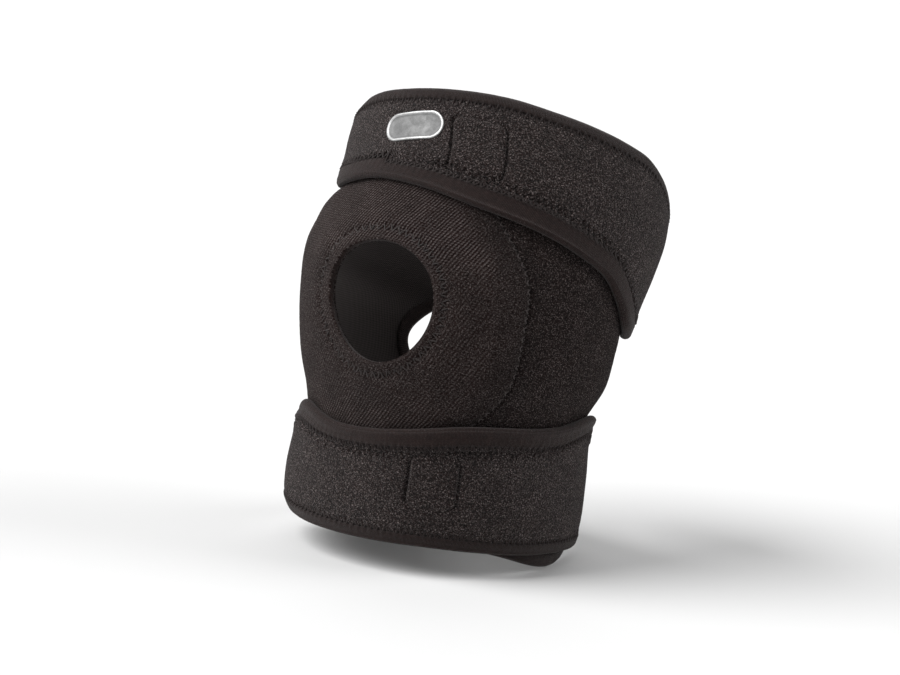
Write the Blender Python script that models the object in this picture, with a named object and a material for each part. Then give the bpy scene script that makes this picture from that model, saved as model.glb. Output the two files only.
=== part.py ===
"""Open-patella knee brace with two wrap-round straps, in the shape it takes on a bent knee.

Frame: metres, origin at the knee's centre, +X to the wearer's outer side, -Y forwards, +Z up the shin.
Every soft piece is a sheet laid on one leg-shaped surface. A place on it is an angle round the leg
(0 in front, positive towards the outer side), a distance along the leg from the knee, and a height
above the skin.
"""

import math

import bpy
from mathutils import Vector

MM = 0.001
DEG = math.pi / 180

# The leg inside: a straight shin, a bend at the knee and a straight thigh that leans back.
KNEE_BEND = 31 * DEG
BEND_HALF = 35 * MM
KNEE_AXIS_BACK = 16 * MM
# (distance along the leg, half width, depth in front, depth behind, sideways shift), in mm
LEG_SECTIONS = (
    (-90, 52.3, 50.6, 53.1, -6.1),
    (-60, 52.7, 50.1, 53.6, -4.7),
    (-35, 51.7, 51.2, 49.6, -2.7),
    (-12, 58.9, 58.6, 50.0, -1.5),
    (6, 61.8, 61.8, 51.0, -2.7),
    (20, 63.2, 60.2, 52.8, -3.8),
    (33, 61.2, 58.6, 54.5, -1.6),
    (46, 59.1, 58.6, 56.0, 1.4),
    (62, 59.9, 59.3, 57.4, 0.7),
    (90, 57.7, 61.1, 59.1, -2.6),
)

# Heights of the layers above the skin. Facets dip between their corners, so free layers lie apart.
GAP = 0.5 * MM
TAPE = 0.5 * MM
SEAM_TAPE_IN, SEAM_TAPE_OUT = -0.4 * MM, 0.1 * MM
BODY_IN, BODY_OUT = 0.8 * MM, 3.6 * MM
LOOP_IN, LOOP_OUT = 4.1 * MM, 4.6 * MM
HOOK_IN, HOOK_OUT = 5.0 * MM, 5.5 * MM
ELASTIC_IN, ELASTIC_OUT = 5.0 * MM, 6.4 * MM
STRAP_IN, STRAP_OUT = 6.0 * MM, 8.8 * MM
HINGE_CLEAR = 0.3 * MM
HINGE_HEIGHT = STRAP_OUT + GAP + TAPE + HINGE_CLEAR

# The knee opening: an egg, wider above and leaning inwards, with a foam ring round it underneath.
OPENING_AT = (-6 * DEG, 1.2 * MM)
OPENING_HALF = (24.5 * MM, 15.9 * MM)
OPENING_WIDER_ABOVE, OPENING_LEAN = 0.10, -1.7 * MM
PAD_IN, PAD_OUT = -2.2 * MM, 0.2 * MM
PAD_FROM, PAD_TO = 1.36, 1.78
OPENING_STEPS, PAD_STEPS = 52, 32

# Side seams bulge round the opening, the inner one further back; the wings end either side of the
# hollow behind the knee. Seams: side (1 outer, -1 inner) to angle at the ends and bulge between them.
SEAMS = {1: (22 * DEG, 26.3 * DEG), -1: (56 * DEG, 14 * DEG)}
SEAM_BULGE_AT, SEAM_BULGE_HALF = -2.5 * MM, 30 * MM
SEAM_GAP = 0.75 * DEG
SEAM_TAPE_HALF = 4.6 * DEG
SEAM_TAPE_FROM, SEAM_TAPE_TO, SEAM_TAPE_ROWS = 0.06, 0.94, 16
WING_END, HOLLOW_CUT = 158 * DEG, 20 * DEG
HOLLOW_AT, HOLLOW_HALF = -6 * MM, 28 * MM
BODY_TOP, BODY_BOTTOM = 72.5 * MM, -74.5 * MM
TAIL_DROP, TAIL_AT, TAIL_HALF = 11.5 * MM, 90 * DEG, 34 * DEG
TAIL_FADE = 0.3
BODY_ROWS, WING_COLUMNS, PANEL_COLUMNS = 22, 14, 11
BODY_TAPE_REACH = 4.5 * MM

# Straps, from the free tip in front to the hinge line, the sewn root behind it and the rear elastic.
# Edges: (angle in degrees, distance along the leg in mm)
UPPER_LOW = (
    (-76, 47), (-64, 41.5), (-52, 37.8), (-40, 35.9), (-20, 35), (0, 33), (20, 30.7), (45, 29.5),
    (62, 28), (75, 26.2), (86, 21.3), (97, 15.5), (106, 13.5), (116, 14), (126, 24), (137, 38),
)
UPPER_TOP = (
    (-76, 75.5), (-50, 74.3), (-30, 73.1), (-18, 72.6), (0, 73), (20, 74.1), (35, 74.6), (53, 76.3),
    (65, 77.7), (79, 79), (95, 76.6), (120, 72), (137, 72),
)
LOWER_LOW = (
    (-76, -75.5), (20, -75), (40, -75.9), (64, -77.8), (90, -79.8), (112, -81.5), (126, -79),
    (137, -76),
)
LOWER_TOP = (
    (-76, -38), (-64, -33.8), (-54, -31.6), (-44, -30.8), (-23, -33.2), (-5, -32.9), (13, -31.2),
    (37, -28.7), (75, -28.2), (97, -25), (106, -26.5), (114, -28.5), (126, -33), (137, -43),
)
TIP, HINGE, ROOT_END = -76 * DEG, 104 * DEG, 137 * DEG
TIP_ROUND, TIP_TURN = 9 * MM, 9 * DEG
BUTT = 1.8 * DEG
STRAP_TAPE_REACH = 7 * MM
STRAP_ROWS, TIP_COLUMNS, FLAP_COLUMNS, ROOT_COLUMNS = 7, 5, 23, 6
UPPER_HINGE_AT, LOWER_HINGE_AT = 54 * MM, -56 * MM
ELASTIC_END = 250 * DEG
UPPER_ELASTIC, LOWER_ELASTIC = (42 * MM, 69 * MM), (-74 * MM, -47 * MM)
ELASTIC_ROWS, ELASTIC_COLUMNS = 4, 15
# Hook squares under the straps: (angle, distance along the leg, half width, half height), and how far
# their sides lean for a distance up the leg
UPPER_HOOK, UPPER_HOOK_LEAN = (12.6 * DEG, 50.8 * MM, 10.6 * MM, 11 * MM), -0.19
LOWER_HOOK, LOWER_HOOK_LEAN = (24.3 * DEG, -49.3 * MM, 9.2 * MM, 10.2 * MM), 0.0
LOOP_WIDER, LOOP_TALLER = 18 * MM, 2 * MM
BADGE = (-13 * DEG, 56 * MM, 13 * MM, 6 * MM)
BADGE_LIFT, BADGE_THICK = 0.5 * MM, 0.7 * MM

COLOURS = {
    "neoprene": (0.030, 0.025, 0.024),
    "knit": (0.034, 0.028, 0.027),
    "binding": (0.022, 0.018, 0.017),
    "elastic": (0.025, 0.021, 0.020),
    "foam": (0.045, 0.045, 0.048),
    "hook": (0.018, 0.018, 0.019),
    "silver": (0.62, 0.63, 0.64),
}


def smoothly(points, at):
    """The value at a place on a smooth curve through (place, value) points."""
    places = [p[0] for p in points]
    at = min(max(at, places[0]), places[-1])
    i = max(k for k in range(len(points) - 1) if places[k] <= at or k == 0)

    def slope(k):
        a, b = max(k - 1, 0), min(k + 1, len(points) - 1)
        return (points[b][1] - points[a][1]) / (places[b] - places[a])

    span = places[i + 1] - places[i]
    t = (at - places[i]) / span
    return (
        (2 * t**3 - 3 * t**2 + 1) * points[i][1]
        + (t**3 - 2 * t**2 + t) * span * slope(i)
        + (3 * t**2 - 2 * t**3) * points[i + 1][1]
        + (t**3 - t**2) * span * slope(i + 1)
    )


def fade(t):
    """0 below 0, 1 above 1, and smooth between."""
    t = min(max(t, 0.0), 1.0)
    return t * t * (3 - 2 * t)


def spread(low, high, count):
    return [low + (high - low) * k / (count - 1) for k in range(count)]


def spine(along):
    """(y, z, lean) of the leg's centre line, which bends through an arc at the knee."""
    arc = 2 * BEND_HALF / KNEE_BEND
    reach = arc * math.tan(KNEE_BEND / 2)
    if along < -BEND_HALF:
        return 0.0, along + BEND_HALF - reach, 0.0
    if along > BEND_HALF:
        far = reach + along - BEND_HALF
        return far * math.sin(KNEE_BEND), far * math.cos(KNEE_BEND), KNEE_BEND
    lean = (along + BEND_HALF) / arc
    return arc * (1 - math.cos(lean)), arc * math.sin(lean) - reach, lean


def on_leg(angle, along, height):
    """The point at an angle round the leg, a distance along it, and a height above the skin."""
    wide, front, back, shift = (
        smoothly([(s[0], s[k]) for s in LEG_SECTIONS], along / MM) * MM for k in range(1, 5)
    )
    deep = front if math.cos(angle) > 0 else back
    out = Vector((math.sin(angle) / wide, -math.cos(angle) / deep)).normalized()
    x = shift + wide * math.sin(angle) + height * out.x
    across = -deep * math.cos(angle) + height * out.y
    y, z, lean = spine(along)
    return Vector((x, y + across * math.cos(lean), z - across * math.sin(lean)))


def scales(angle, along):
    """Metres on the surface for a radian round the leg, and for a metre along it."""
    here = on_leg(angle, along, BODY_OUT)
    step = 1 * MM
    return (
        (on_leg(angle + step, along, BODY_OUT) - here).length / step,
        (on_leg(angle, along + step, BODY_OUT) - here).length / step,
    )


def opening_place(turn, factor):
    """A place round the knee opening; factor 1 is its edge."""
    q = factor * math.sin(turn)
    x = OPENING_LEAN * q + factor * math.cos(turn) * OPENING_HALF[0] * (1 + OPENING_WIDER_ABOVE * q)
    return OPENING_AT[0] + x / scales(*OPENING_AT)[0], OPENING_AT[1] + q * OPENING_HALF[1]


def turn_round_opening(angle, along):
    """The turn at which opening_place passes through a place."""
    q = (along - OPENING_AT[1]) / OPENING_HALF[1]
    x = (angle - OPENING_AT[0]) * scales(*OPENING_AT)[0] - OPENING_LEAN * q
    return math.atan2(q, x / OPENING_HALF[0] / max(1 + OPENING_WIDER_ABOVE * q, 0.3))


def seam_angle(side, along):
    """The signed angle of the outer (1) or inner (-1) seam."""
    ends, bulge = SEAMS[side]
    return side * (ends + bulge * math.exp(-(((along - SEAM_BULGE_AT) / SEAM_BULGE_HALF) ** 4)))


def wing_end(along):
    return WING_END - HOLLOW_CUT * math.exp(-(((along - HOLLOW_AT) / HOLLOW_HALF) ** 2))


def body_row(angle, share):
    """Distance along the leg of a row of the body, which drops to a tail on the outer side."""
    drop = TAIL_DROP * math.exp(-(((angle - TAIL_AT) / TAIL_HALF) ** 2))
    return BODY_BOTTOM + (BODY_TOP - BODY_BOTTOM) * share - drop * (1 - fade(share / TAIL_FADE))


def body_place(side, share, across):
    """A place on a wing: across is 0 at the side seam and 1 at the rear edge."""
    flat = BODY_BOTTOM + (BODY_TOP - BODY_BOTTOM) * share
    seam = seam_angle(side, flat) + side * SEAM_GAP / 2
    angle = seam + (side * wing_end(flat) - seam) * across
    return angle, body_row(angle, share)


def strap_edge(points, angle, inwards):
    """Distance along the leg of a strap's edge, rounded off towards its free tip."""
    edge = smoothly(points, angle / DEG) * MM
    share = min(max((angle - TIP) / TIP_TURN, 0), 1)
    return edge + inwards * TIP_ROUND * (1 - math.sqrt(1 - (1 - share) ** 2))


def flap_angles():
    """Angles of a flap's columns, closer where its tip is round."""
    tip = [TIP + t * t * TIP_TURN for t in spread(0, 1, TIP_COLUMNS)]
    return tip + spread(TIP + TIP_TURN, HINGE, FLAP_COLUMNS)[1:]


def material(name, metallic=0.0, roughness=0.9):
    found = bpy.data.materials.get(name)
    if found:
        return found
    made = bpy.data.materials.new(name)
    made.use_nodes = True
    shader = made.node_tree.nodes["Principled BSDF"]
    shader.inputs["Base Color"].default_value = (*COLOURS[name], 1)
    shader.inputs["Roughness"].default_value = roughness
    shader.inputs["Metallic"].default_value = metallic
    made.diffuse_color = (*COLOURS[name], 1)
    return made


def add_object(name, points, faces, look, parent):
    mesh = bpy.data.meshes.new(name)
    mesh.from_pydata([tuple(p) for p in points], [], faces)
    mesh.materials.append(look)
    mesh.shade_smooth()
    mesh.set_sharp_from_angle(angle=40 * DEG)
    made = bpy.data.objects.new(name, mesh)
    bpy.context.scene.collection.objects.link(made)
    made.parent = parent
    made.matrix_parent_inverse = parent.matrix_world.inverted()
    return made


def sheet(name, columns, look, parent, inner, outer, ring=False):
    """A closed solid over columns of (angle, along) places, between two heights.

    Columns run up the leg, or inwards on a ring, and come in order of rising angle, so the outer side
    faces out. With ring set, the last column joins the first."""
    rows = len(columns[0])
    count = len(columns)
    outside = [on_leg(angle, along, outer) for column in columns for angle, along in column]
    inside = [on_leg(angle, along, inner) for column in columns for angle, along in column]
    size = len(outside)
    faces = []
    for i in range(count if ring else count - 1):
        here, there = i * rows, (i + 1) % count * rows
        for j in range(rows - 1):
            a, b, c, d = here + j, there + j, there + j + 1, here + j + 1
            faces += [(a, b, c, d), (d + size, c + size, b + size, a + size)]
        top = here + rows - 1, there + rows - 1
        faces += [
            (here + size, there + size, there, here),
            (top[0], top[1], top[1] + size, top[0] + size),
        ]
    if not ring:
        far = (count - 1) * rows
        for j in range(rows - 1):
            k = far + j
            faces += [(j, j + 1, j + 1 + size, j + size), (k + 1, k, k + size, k + 1 + size)]
    return add_object(name, outside + inside, faces, look, parent)


def folded_tape(name, path, look, parent, inner, outer, reach, ring=False):
    """Binding tape folded over an edge: a U section carried along path, a list of (angle, along) places
    that runs with the sheet on its left, seen from outside."""
    count = len(path)
    low, high = inner - GAP, outer + GAP
    section = (
        (reach, high + TAPE),
        (-GAP - TAPE, high + TAPE),
        (-GAP - TAPE, low - TAPE),
        (reach, low - TAPE),
        (reach, low),
        (-GAP, low),
        (-GAP, high),
        (reach, high),
    )
    points, faces = [], []
    for i, (angle, along) in enumerate(path):
        before = path[i - 1] if ring or i else path[0]
        after = path[(i + 1) % count] if ring or i < count - 1 else path[-1]
        around, up = scales(angle, along)
        step = Vector(((after[0] - before[0]) * around, (after[1] - before[1]) * up)).normalized()
        for inwards, height in section:
            points.append(
                on_leg(angle - step.y * inwards / around, along + step.x * inwards / up, height)
            )
    sides = len(section)
    for i in range(count if ring else count - 1):
        here, there = i * sides, (i + 1) % count * sides
        for j in range(sides):
            k = (j + 1) % sides
            faces.append((here + j, here + k, there + k, there + j))
    if not ring:
        far = (count - 1) * sides
        for a, b, c, d in ((0, 1, 6, 7), (1, 2, 5, 6), (2, 3, 4, 5)):
            faces += [(d, c, b, a), (far + a, far + b, far + c, far + d)]
    return add_object(name, points, faces, look, parent)


def panel_outline():
    """The front panel's outline, anticlockwise from its lower outer corner."""
    shares = spread(0, 1, BODY_ROWS)
    levels = [BODY_BOTTOM + (BODY_TOP - BODY_BOTTOM) * s for s in shares]
    outer = [seam_angle(1, v) - SEAM_GAP / 2 for v in levels]
    inner = [seam_angle(-1, v) + SEAM_GAP / 2 for v in levels]
    outer_side = [(a, body_row(a, s)) for a, s in zip(outer, shares)]
    inner_side = [(a, body_row(a, s)) for a, s in zip(inner, shares)]
    bottom = [(a, body_row(a, 0)) for a in spread(inner[0], outer[0], PANEL_COLUMNS)]
    top = [(a, BODY_TOP) for a in spread(outer[-1], inner[-1], PANEL_COLUMNS)]
    return outer_side[:-1] + top[:-1] + inner_side[:0:-1] + bottom[:-1]


def front_panel(parent):
    """The knee panel: columns run in from its outline to the knee opening."""
    columns = []
    for place in panel_outline():
        edge = opening_place(turn_round_opening(*place), 1)
        columns.append(
            [tuple(edge[m] + (place[m] - edge[m]) * t**1.5 for m in range(2)) for t in spread(1, 0, 7)]
        )
    return sheet("front_panel", columns, material("knit"), parent, BODY_IN, BODY_OUT, ring=True)


def wing(name, side, parent):
    """A side panel, from the front panel's seam to the hollow behind the knee."""
    columns = [
        [body_place(side, share, across) for share in spread(0, 1, BODY_ROWS)]
        for across in spread(0, 1, WING_COLUMNS)
    ]
    return sheet(name, columns[::side], material("neoprene"), parent, BODY_IN, BODY_OUT)


def patella_pad(parent):
    """The foam ring sewn inside the front panel round the opening."""
    turns = [math.tau * k / PAD_STEPS for k in range(PAD_STEPS)]
    columns = [[opening_place(turn, factor) for factor in (PAD_TO, PAD_FROM)] for turn in turns]
    return sheet("patella_pad", columns, material("foam"), parent, PAD_IN, PAD_OUT, ring=True)


def opening_binding(parent):
    path = [opening_place(-math.tau * k / OPENING_STEPS, 1) for k in range(OPENING_STEPS)]
    return folded_tape(
        "opening_binding", path, material("binding"), parent, BODY_IN, BODY_OUT, BODY_TAPE_REACH,
        ring=True,
    )


def seam_tape(name, side, parent):
    """The flat tape that covers a side seam on the inside."""
    shares = spread(SEAM_TAPE_FROM, SEAM_TAPE_TO, SEAM_TAPE_ROWS)
    columns = []
    for offset in (-SEAM_TAPE_HALF, SEAM_TAPE_HALF):
        angles = [
            seam_angle(side, BODY_BOTTOM + (BODY_TOP - BODY_BOTTOM) * s) + offset for s in shares
        ]
        columns.append([(a, body_row(a, s)) for a, s in zip(angles, shares)])
    return sheet(name, columns, material("binding"), parent, SEAM_TAPE_IN, SEAM_TAPE_OUT)


def body_binding(name, share, parent):
    """Binding tape along the body's bottom edge (share 0) or top edge (share 1)."""
    inner, outer = (
        [body_place(side, share, t)[0] for t in spread(0, 1, WING_COLUMNS)] for side in (-1, 1)
    )
    angles = inner[::-1] + spread(inner[0], outer[0], PANEL_COLUMNS)[1:-1] + outer
    path = [(a, body_row(a, share)) for a in (angles if share == 0 else reversed(angles))]
    return folded_tape(
        name, path, material("binding"), parent, BODY_IN, BODY_OUT, BODY_TAPE_REACH
    )


def wing_binding(name, side, parent):
    """Binding tape along a wing's rear edge, between the ends of the bottom and top tapes."""
    path = [body_place(side, share, 1) for share in spread(0, 1, BODY_ROWS)[1:-1]]
    return folded_tape(
        name, path[::side], material("binding"), parent, BODY_IN, BODY_OUT, BODY_TAPE_REACH
    )


def strap_sheet(name, low, top, angles, parent):
    columns = [
        [(a, v) for v in spread(strap_edge(low, a, 1), strap_edge(top, a, -1), STRAP_ROWS)]
        for a in angles
    ]
    return sheet(name, columns, material("neoprene"), parent, STRAP_IN, STRAP_OUT)


def strap_binding(name, low, top, parent):
    """One length of tape round a flap: its top edge, its tip and its bottom edge."""
    upper_edge = [(a, strap_edge(top, a, -1)) for a in flap_angles()]
    lower_edge = [(a, strap_edge(low, a, 1)) for a in flap_angles()]
    tip = [(TIP, v) for v in spread(upper_edge[0][1], lower_edge[0][1], STRAP_ROWS)]
    path = upper_edge[:0:-1] + tip + lower_edge[1:]
    return folded_tape(
        name, path, material("binding"), parent, STRAP_IN, STRAP_OUT, STRAP_TAPE_REACH
    )


def rear_elastic(name, ends, parent):
    """The elastic band behind the leg, from the strap's root to the inner wing."""
    angles = spread(ROOT_END + BUTT, ELASTIC_END, ELASTIC_COLUMNS)
    columns = [[(a, v) for v in spread(*ends, ELASTIC_ROWS)] for a in angles]
    return sheet(name, columns, material("elastic"), parent, ELASTIC_IN, ELASTIC_OUT)


def patch(name, place, lean, wider, taller, look, parent, inner, outer):
    """A rectangle of tape lying on the leg's surface."""
    angle, along, half_wide, half_high = place
    around = scales(angle, along)[0]
    half, high = (half_wide + wider) / around, half_high + taller
    columns = [
        [(a + lean * v / around, along + v) for v in spread(-high, high, 4)]
        for a in spread(angle - half, angle + half, 9)
    ]
    return sheet(name, columns, material(look), parent, inner, outer)


def badge(parent):
    """A plain oblong plate with round ends, bonded on the upper strap."""
    angle, along, half_wide, half_high = BADGE
    around = scales(angle, along)[0]
    columns = []
    for t in spread(-0.9, 0.9, 13):
        x = half_wide * math.sin(t * math.pi / 2)
        over = max(abs(x) - half_wide + half_high, 0)
        half = math.sqrt(half_high**2 - over**2)
        columns.append([(angle + x / around, v) for v in (along - half, along, along + half)])
    low = STRAP_OUT + BADGE_LIFT
    return sheet("badge", columns, material("silver", 0.9, 0.35), parent, low, low + BADGE_THICK)


def joint_empty(name, place, parent=None):
    made = bpy.data.objects.new(name, None)
    bpy.context.scene.collection.objects.link(made)
    made.parent = parent
    if parent:
        made.matrix_parent_inverse = parent.matrix_world.inverted()
    made.location = place
    bpy.context.view_layer.update()
    return made


def strap(which, low, top, hook, lean, cuff, hinge):
    """One strap: its flap with binding and hook square, its sewn root, and the loop tape under it."""
    strap_sheet(f"{which}_strap", low, top, flap_angles(), hinge)
    strap_sheet(f"{which}_strap_root", low, top, spread(HINGE + BUTT, ROOT_END, ROOT_COLUMNS), cuff)
    strap_binding(f"{which}_strap_binding", low, top, hinge)
    patch(f"{which}_hook_patch", hook, lean, 0, 0, "hook", hinge, HOOK_IN, HOOK_OUT)
    patch(
        f"{which}_loop_patch", hook, lean, LOOP_WIDER, LOOP_TALLER, "neoprene", cuff, LOOP_IN, LOOP_OUT
    )


def main():
    for old in list(bpy.data.objects):
        bpy.data.objects.remove(old)
    calf = joint_empty("calf_cuff_origin", (0, 0, 0))
    thigh = joint_empty("knee_axis", (0, KNEE_AXIS_BACK, 0), calf)
    upper = joint_empty("upper_strap_axis", on_leg(HINGE, UPPER_HINGE_AT, HINGE_HEIGHT), thigh)
    lower = joint_empty("lower_strap_axis", on_leg(HINGE, LOWER_HINGE_AT, HINGE_HEIGHT), calf)

    front_panel(calf)
    wing("outer_wing", 1, calf)
    wing("inner_wing", -1, calf)
    patella_pad(calf)
    opening_binding(calf)
    seam_tape("outer_seam_tape", 1, calf)
    seam_tape("inner_seam_tape", -1, calf)
    body_binding("bottom_binding", 0, calf)
    body_binding("top_binding", 1, thigh)
    wing_binding("outer_wing_binding", 1, calf)
    wing_binding("inner_wing_binding", -1, calf)

    strap("upper", UPPER_LOW, UPPER_TOP, UPPER_HOOK, UPPER_HOOK_LEAN, thigh, upper)
    strap("lower", LOWER_LOW, LOWER_TOP, LOWER_HOOK, LOWER_HOOK_LEAN, calf, lower)
    rear_elastic("upper_rear_elastic", UPPER_ELASTIC, thigh)
    rear_elastic("lower_rear_elastic", LOWER_ELASTIC, calf)
    badge(upper)


main()
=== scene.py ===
"""The looks of an open-patella knee brace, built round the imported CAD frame.

Every soft piece is laid on the leg-shaped surface that the CAD solids lie on. A place on it is an angle
round the leg (0 in front, positive towards the outer side), a distance along the leg from the knee and a
height above the skin. Lengths are in millimetres and angles in radians until a mesh is made.
"""

import math

import bpy
import numpy as np
from mathutils import Matrix, Vector


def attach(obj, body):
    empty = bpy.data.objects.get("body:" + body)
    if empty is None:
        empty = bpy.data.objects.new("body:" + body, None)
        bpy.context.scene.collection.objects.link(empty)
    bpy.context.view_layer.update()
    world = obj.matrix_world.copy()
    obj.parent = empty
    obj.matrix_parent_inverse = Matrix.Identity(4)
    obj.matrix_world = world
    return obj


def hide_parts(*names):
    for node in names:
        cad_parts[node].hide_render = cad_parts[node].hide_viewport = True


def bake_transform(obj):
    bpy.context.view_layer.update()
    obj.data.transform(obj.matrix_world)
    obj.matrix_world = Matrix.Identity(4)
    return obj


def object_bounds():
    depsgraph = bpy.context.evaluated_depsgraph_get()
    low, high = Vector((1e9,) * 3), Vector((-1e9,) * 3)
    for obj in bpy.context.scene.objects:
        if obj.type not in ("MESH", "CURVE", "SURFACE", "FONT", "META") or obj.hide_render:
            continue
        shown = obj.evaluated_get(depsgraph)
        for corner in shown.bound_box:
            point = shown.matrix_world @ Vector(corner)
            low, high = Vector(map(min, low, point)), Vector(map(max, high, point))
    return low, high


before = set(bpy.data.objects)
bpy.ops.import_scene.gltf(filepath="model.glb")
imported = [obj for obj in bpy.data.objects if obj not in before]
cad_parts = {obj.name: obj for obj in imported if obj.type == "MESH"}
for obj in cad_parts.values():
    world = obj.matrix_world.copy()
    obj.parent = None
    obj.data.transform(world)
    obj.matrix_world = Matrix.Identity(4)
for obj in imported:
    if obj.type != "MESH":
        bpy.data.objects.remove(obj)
CAD_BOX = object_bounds()

DEG = math.pi / 180
METRES = 0.001
TAU = 2 * math.pi

# ---------------------------------------------------------------- the leg, as in the CAD source

KNEE_BEND, BEND_HALF = 31 * DEG, 35.0
BEND_ARC = 2 * BEND_HALF / KNEE_BEND
AROUND = 62.0  # millimetres for a radian round the leg
# (distance along the leg, half width, depth in front, depth behind, sideways shift)
LEG_SECTIONS = (
    (-90, 52.3, 50.6, 53.1, -6.1),
    (-60, 52.7, 50.1, 53.6, -4.7),
    (-35, 51.7, 51.2, 49.6, -2.7),
    (-12, 58.9, 58.6, 50.0, -1.5),
    (6, 61.8, 61.8, 51.0, -2.7),
    (20, 63.2, 60.2, 52.8, -3.8),
    (33, 61.2, 58.6, 54.5, -1.6),
    (46, 59.1, 58.6, 56.0, 1.4),
    (62, 59.9, 59.3, 57.4, 0.7),
    (90, 57.7, 61.1, 59.1, -2.6),
)
# Side (1 outer, -1 inner) to the seam's angle at its ends and how much it bulges between them
SEAMS = {1: (22 * DEG, 26.3 * DEG), -1: (56 * DEG, 14 * DEG)}
SEAM_BULGE_AT, SEAM_BULGE_HALF = -2.5, 30.0
WING_END, HOLLOW_CUT, HOLLOW_AT, HOLLOW_HALF = 158 * DEG, 20 * DEG, -6.0, 28.0
BODY_TOP, BODY_BOTTOM = 72.5, -74.5
TAIL_DROP, TAIL_AT, TAIL_HALF, TAIL_FADE = 11.5, 90 * DEG, 34 * DEG, 0.3
OPENING_AT, OPENING_HALF = (-6 * DEG, 1.2), (24.5, 15.9)
OPENING_WIDER_ABOVE, OPENING_LEAN = 0.10, -1.7
TIP, HINGE, ROOT_END = -76 * DEG, 104 * DEG, 137 * DEG
TIP_ROUND, TIP_TURN = 9.0, 9 * DEG
ELASTIC_END = 250 * DEG
# Edges: (angle in degrees, distance along the leg). Hook squares: (angle, distance along the leg, half
# width, half height), and how far their sides lean for a distance up the leg. Sunk is how deep the low and
# the top edge's stitches lie in the pile, and ridge the groove along the edge tape
UPPER = {
    "low": (
        (-76, 47), (-64, 41.5), (-52, 37.8), (-40, 35.9), (-20, 35), (0, 33), (20, 30.7), (45, 29.5),
        (62, 28), (75, 26.2), (86, 21.3), (97, 15.5), (106, 13.5), (116, 14), (126, 24), (137, 38),
    ),
    "top": (
        (-76, 75.5), (-50, 74.3), (-30, 73.1), (-18, 72.6), (0, 73), (20, 74.1), (35, 74.6), (53, 76.3),
        (65, 77.7), (79, 79), (95, 76.6), (120, 72), (137, 72),
    ),
    "hook": (12.6 * DEG, 50.8, 10.6, 11.0),
    "lean": -0.19,
    "elastic": (42.0, 69.0),
    "low_tape": 7.2,
    "top_tape": 4.6,
    "sunk": (0.0, 0.25),
    "ridge": 0.12,
    "cuff": "thigh_cuff",
    "flap": "upper_flap",
}
LOWER = {
    "low": (
        (-76, -75.5), (20, -75), (40, -75.9), (64, -77.8), (90, -79.8), (112, -81.5), (126, -79),
        (137, -76),
    ),
    "top": (
        (-76, -38), (-64, -33.8), (-54, -31.6), (-44, -30.8), (-23, -33.2), (-5, -32.9), (13, -31.2),
        (37, -28.7), (75, -28.2), (97, -25), (106, -26.5), (114, -28.5), (126, -33), (137, -43),
    ),
    "hook": (24.3 * DEG, -49.3, 9.2, 10.2),
    "lean": 0.0,
    "elastic": (-74.0, -47.0),
    "low_tape": 4.4,
    "top_tape": 7.0,
    "sunk": (0.3, 0.0),
    "ridge": 0.5,
    "cuff": "calf_cuff",
    "flap": "lower_flap",
}
PATCH_CORNER = 3.0
BADGE, BADGE_FACE = (-13 * DEG, 56.0, 13.0, 6.0), 0.80

# Heights above the skin
SEAM_TAPE_IN, SEAM_TAPE_OUT = -0.2, 0.35
BODY_IN, BODY_OUT = 0.8, 3.6
BODY_MIDDLE = (BODY_IN + BODY_OUT) / 2
PAD_IN, PAD_OUT = -2.2, 0.5
LOOP_IN, LOOP_OUT = 3.75, 4.15
HOOK_IN, HOOK_OUT = 4.4, 4.75
ELASTIC_IN, ELASTIC_OUT = 4.3, 5.7
STRAP_IN, STRAP_OUT, STRAP_DROP = 4.8, 8.1, 0.65
TAPE = 0.45
FLOOR_GAP = 0.6
# How much longer the worn cloth is round the leg than it was cut
CLOTH_STRETCH, ELASTIC_STRETCH = 1.06, 1.25
# Between these edges the knee weight rises from the calf cuff to the thigh cuff: (angle in degrees,
# distance along the leg). Over the front and the outer side they run half a millimetre clear of the straps
BEND_CLEAR = 0.5
BEND_FROM = (
    *((-180, -47), (-115, -46), (-76, -30), (-44, -30)),
    *((angle, along + BEND_CLEAR) for angle, along in LOWER["top"][4:-1]),
    *((137, -42), (180, -47)),
)
BEND_TO = (
    *((-180, 42), (-115, 42), (-76, 36.5), (-42, 34.8)),
    *((angle, along - BEND_CLEAR) for angle, along in UPPER["low"][4:]),
    (180, 42),
)
HINGE_FROM, HINGE_TO = 113 * DEG, 95 * DEG


def smoothly(points, at):
    """Values on a smooth curve through (place, value) points."""
    x, y = (np.array([p[k] for p in points], float) for k in range(2))
    before, after = np.maximum(np.arange(len(x)) - 1, 0), np.minimum(np.arange(len(x)) + 1, len(x) - 1)
    slope = (y[after] - y[before]) / (x[after] - x[before])
    at = np.clip(at, x[0], x[-1])
    i = np.clip(np.searchsorted(x, at, side="right") - 1, 0, len(x) - 2)
    span = x[i + 1] - x[i]
    t = (at - x[i]) / span
    return (
        (2 * t**3 - 3 * t**2 + 1) * y[i]
        + (t**3 - 2 * t**2 + t) * span * slope[i]
        + (3 * t**2 - 2 * t**3) * y[i + 1]
        + (t**3 - t**2) * span * slope[i + 1]
    )


LEG_AT = np.linspace(-95, 95, 1901)
LEG_SHAPE = [smoothly([(s[0], s[k]) for s in LEG_SECTIONS], LEG_AT) for k in range(1, 5)]


def fade(t):
    """0 below 0, 1 above 1, and smooth between."""
    t = np.clip(t, 0, 1)
    return t * t * (3 - 2 * t)


def hump(t, at, half):
    """1 at a place, falling off smoothly to both sides of it."""
    return np.exp(-(((t - at) / half) ** 2))


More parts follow.
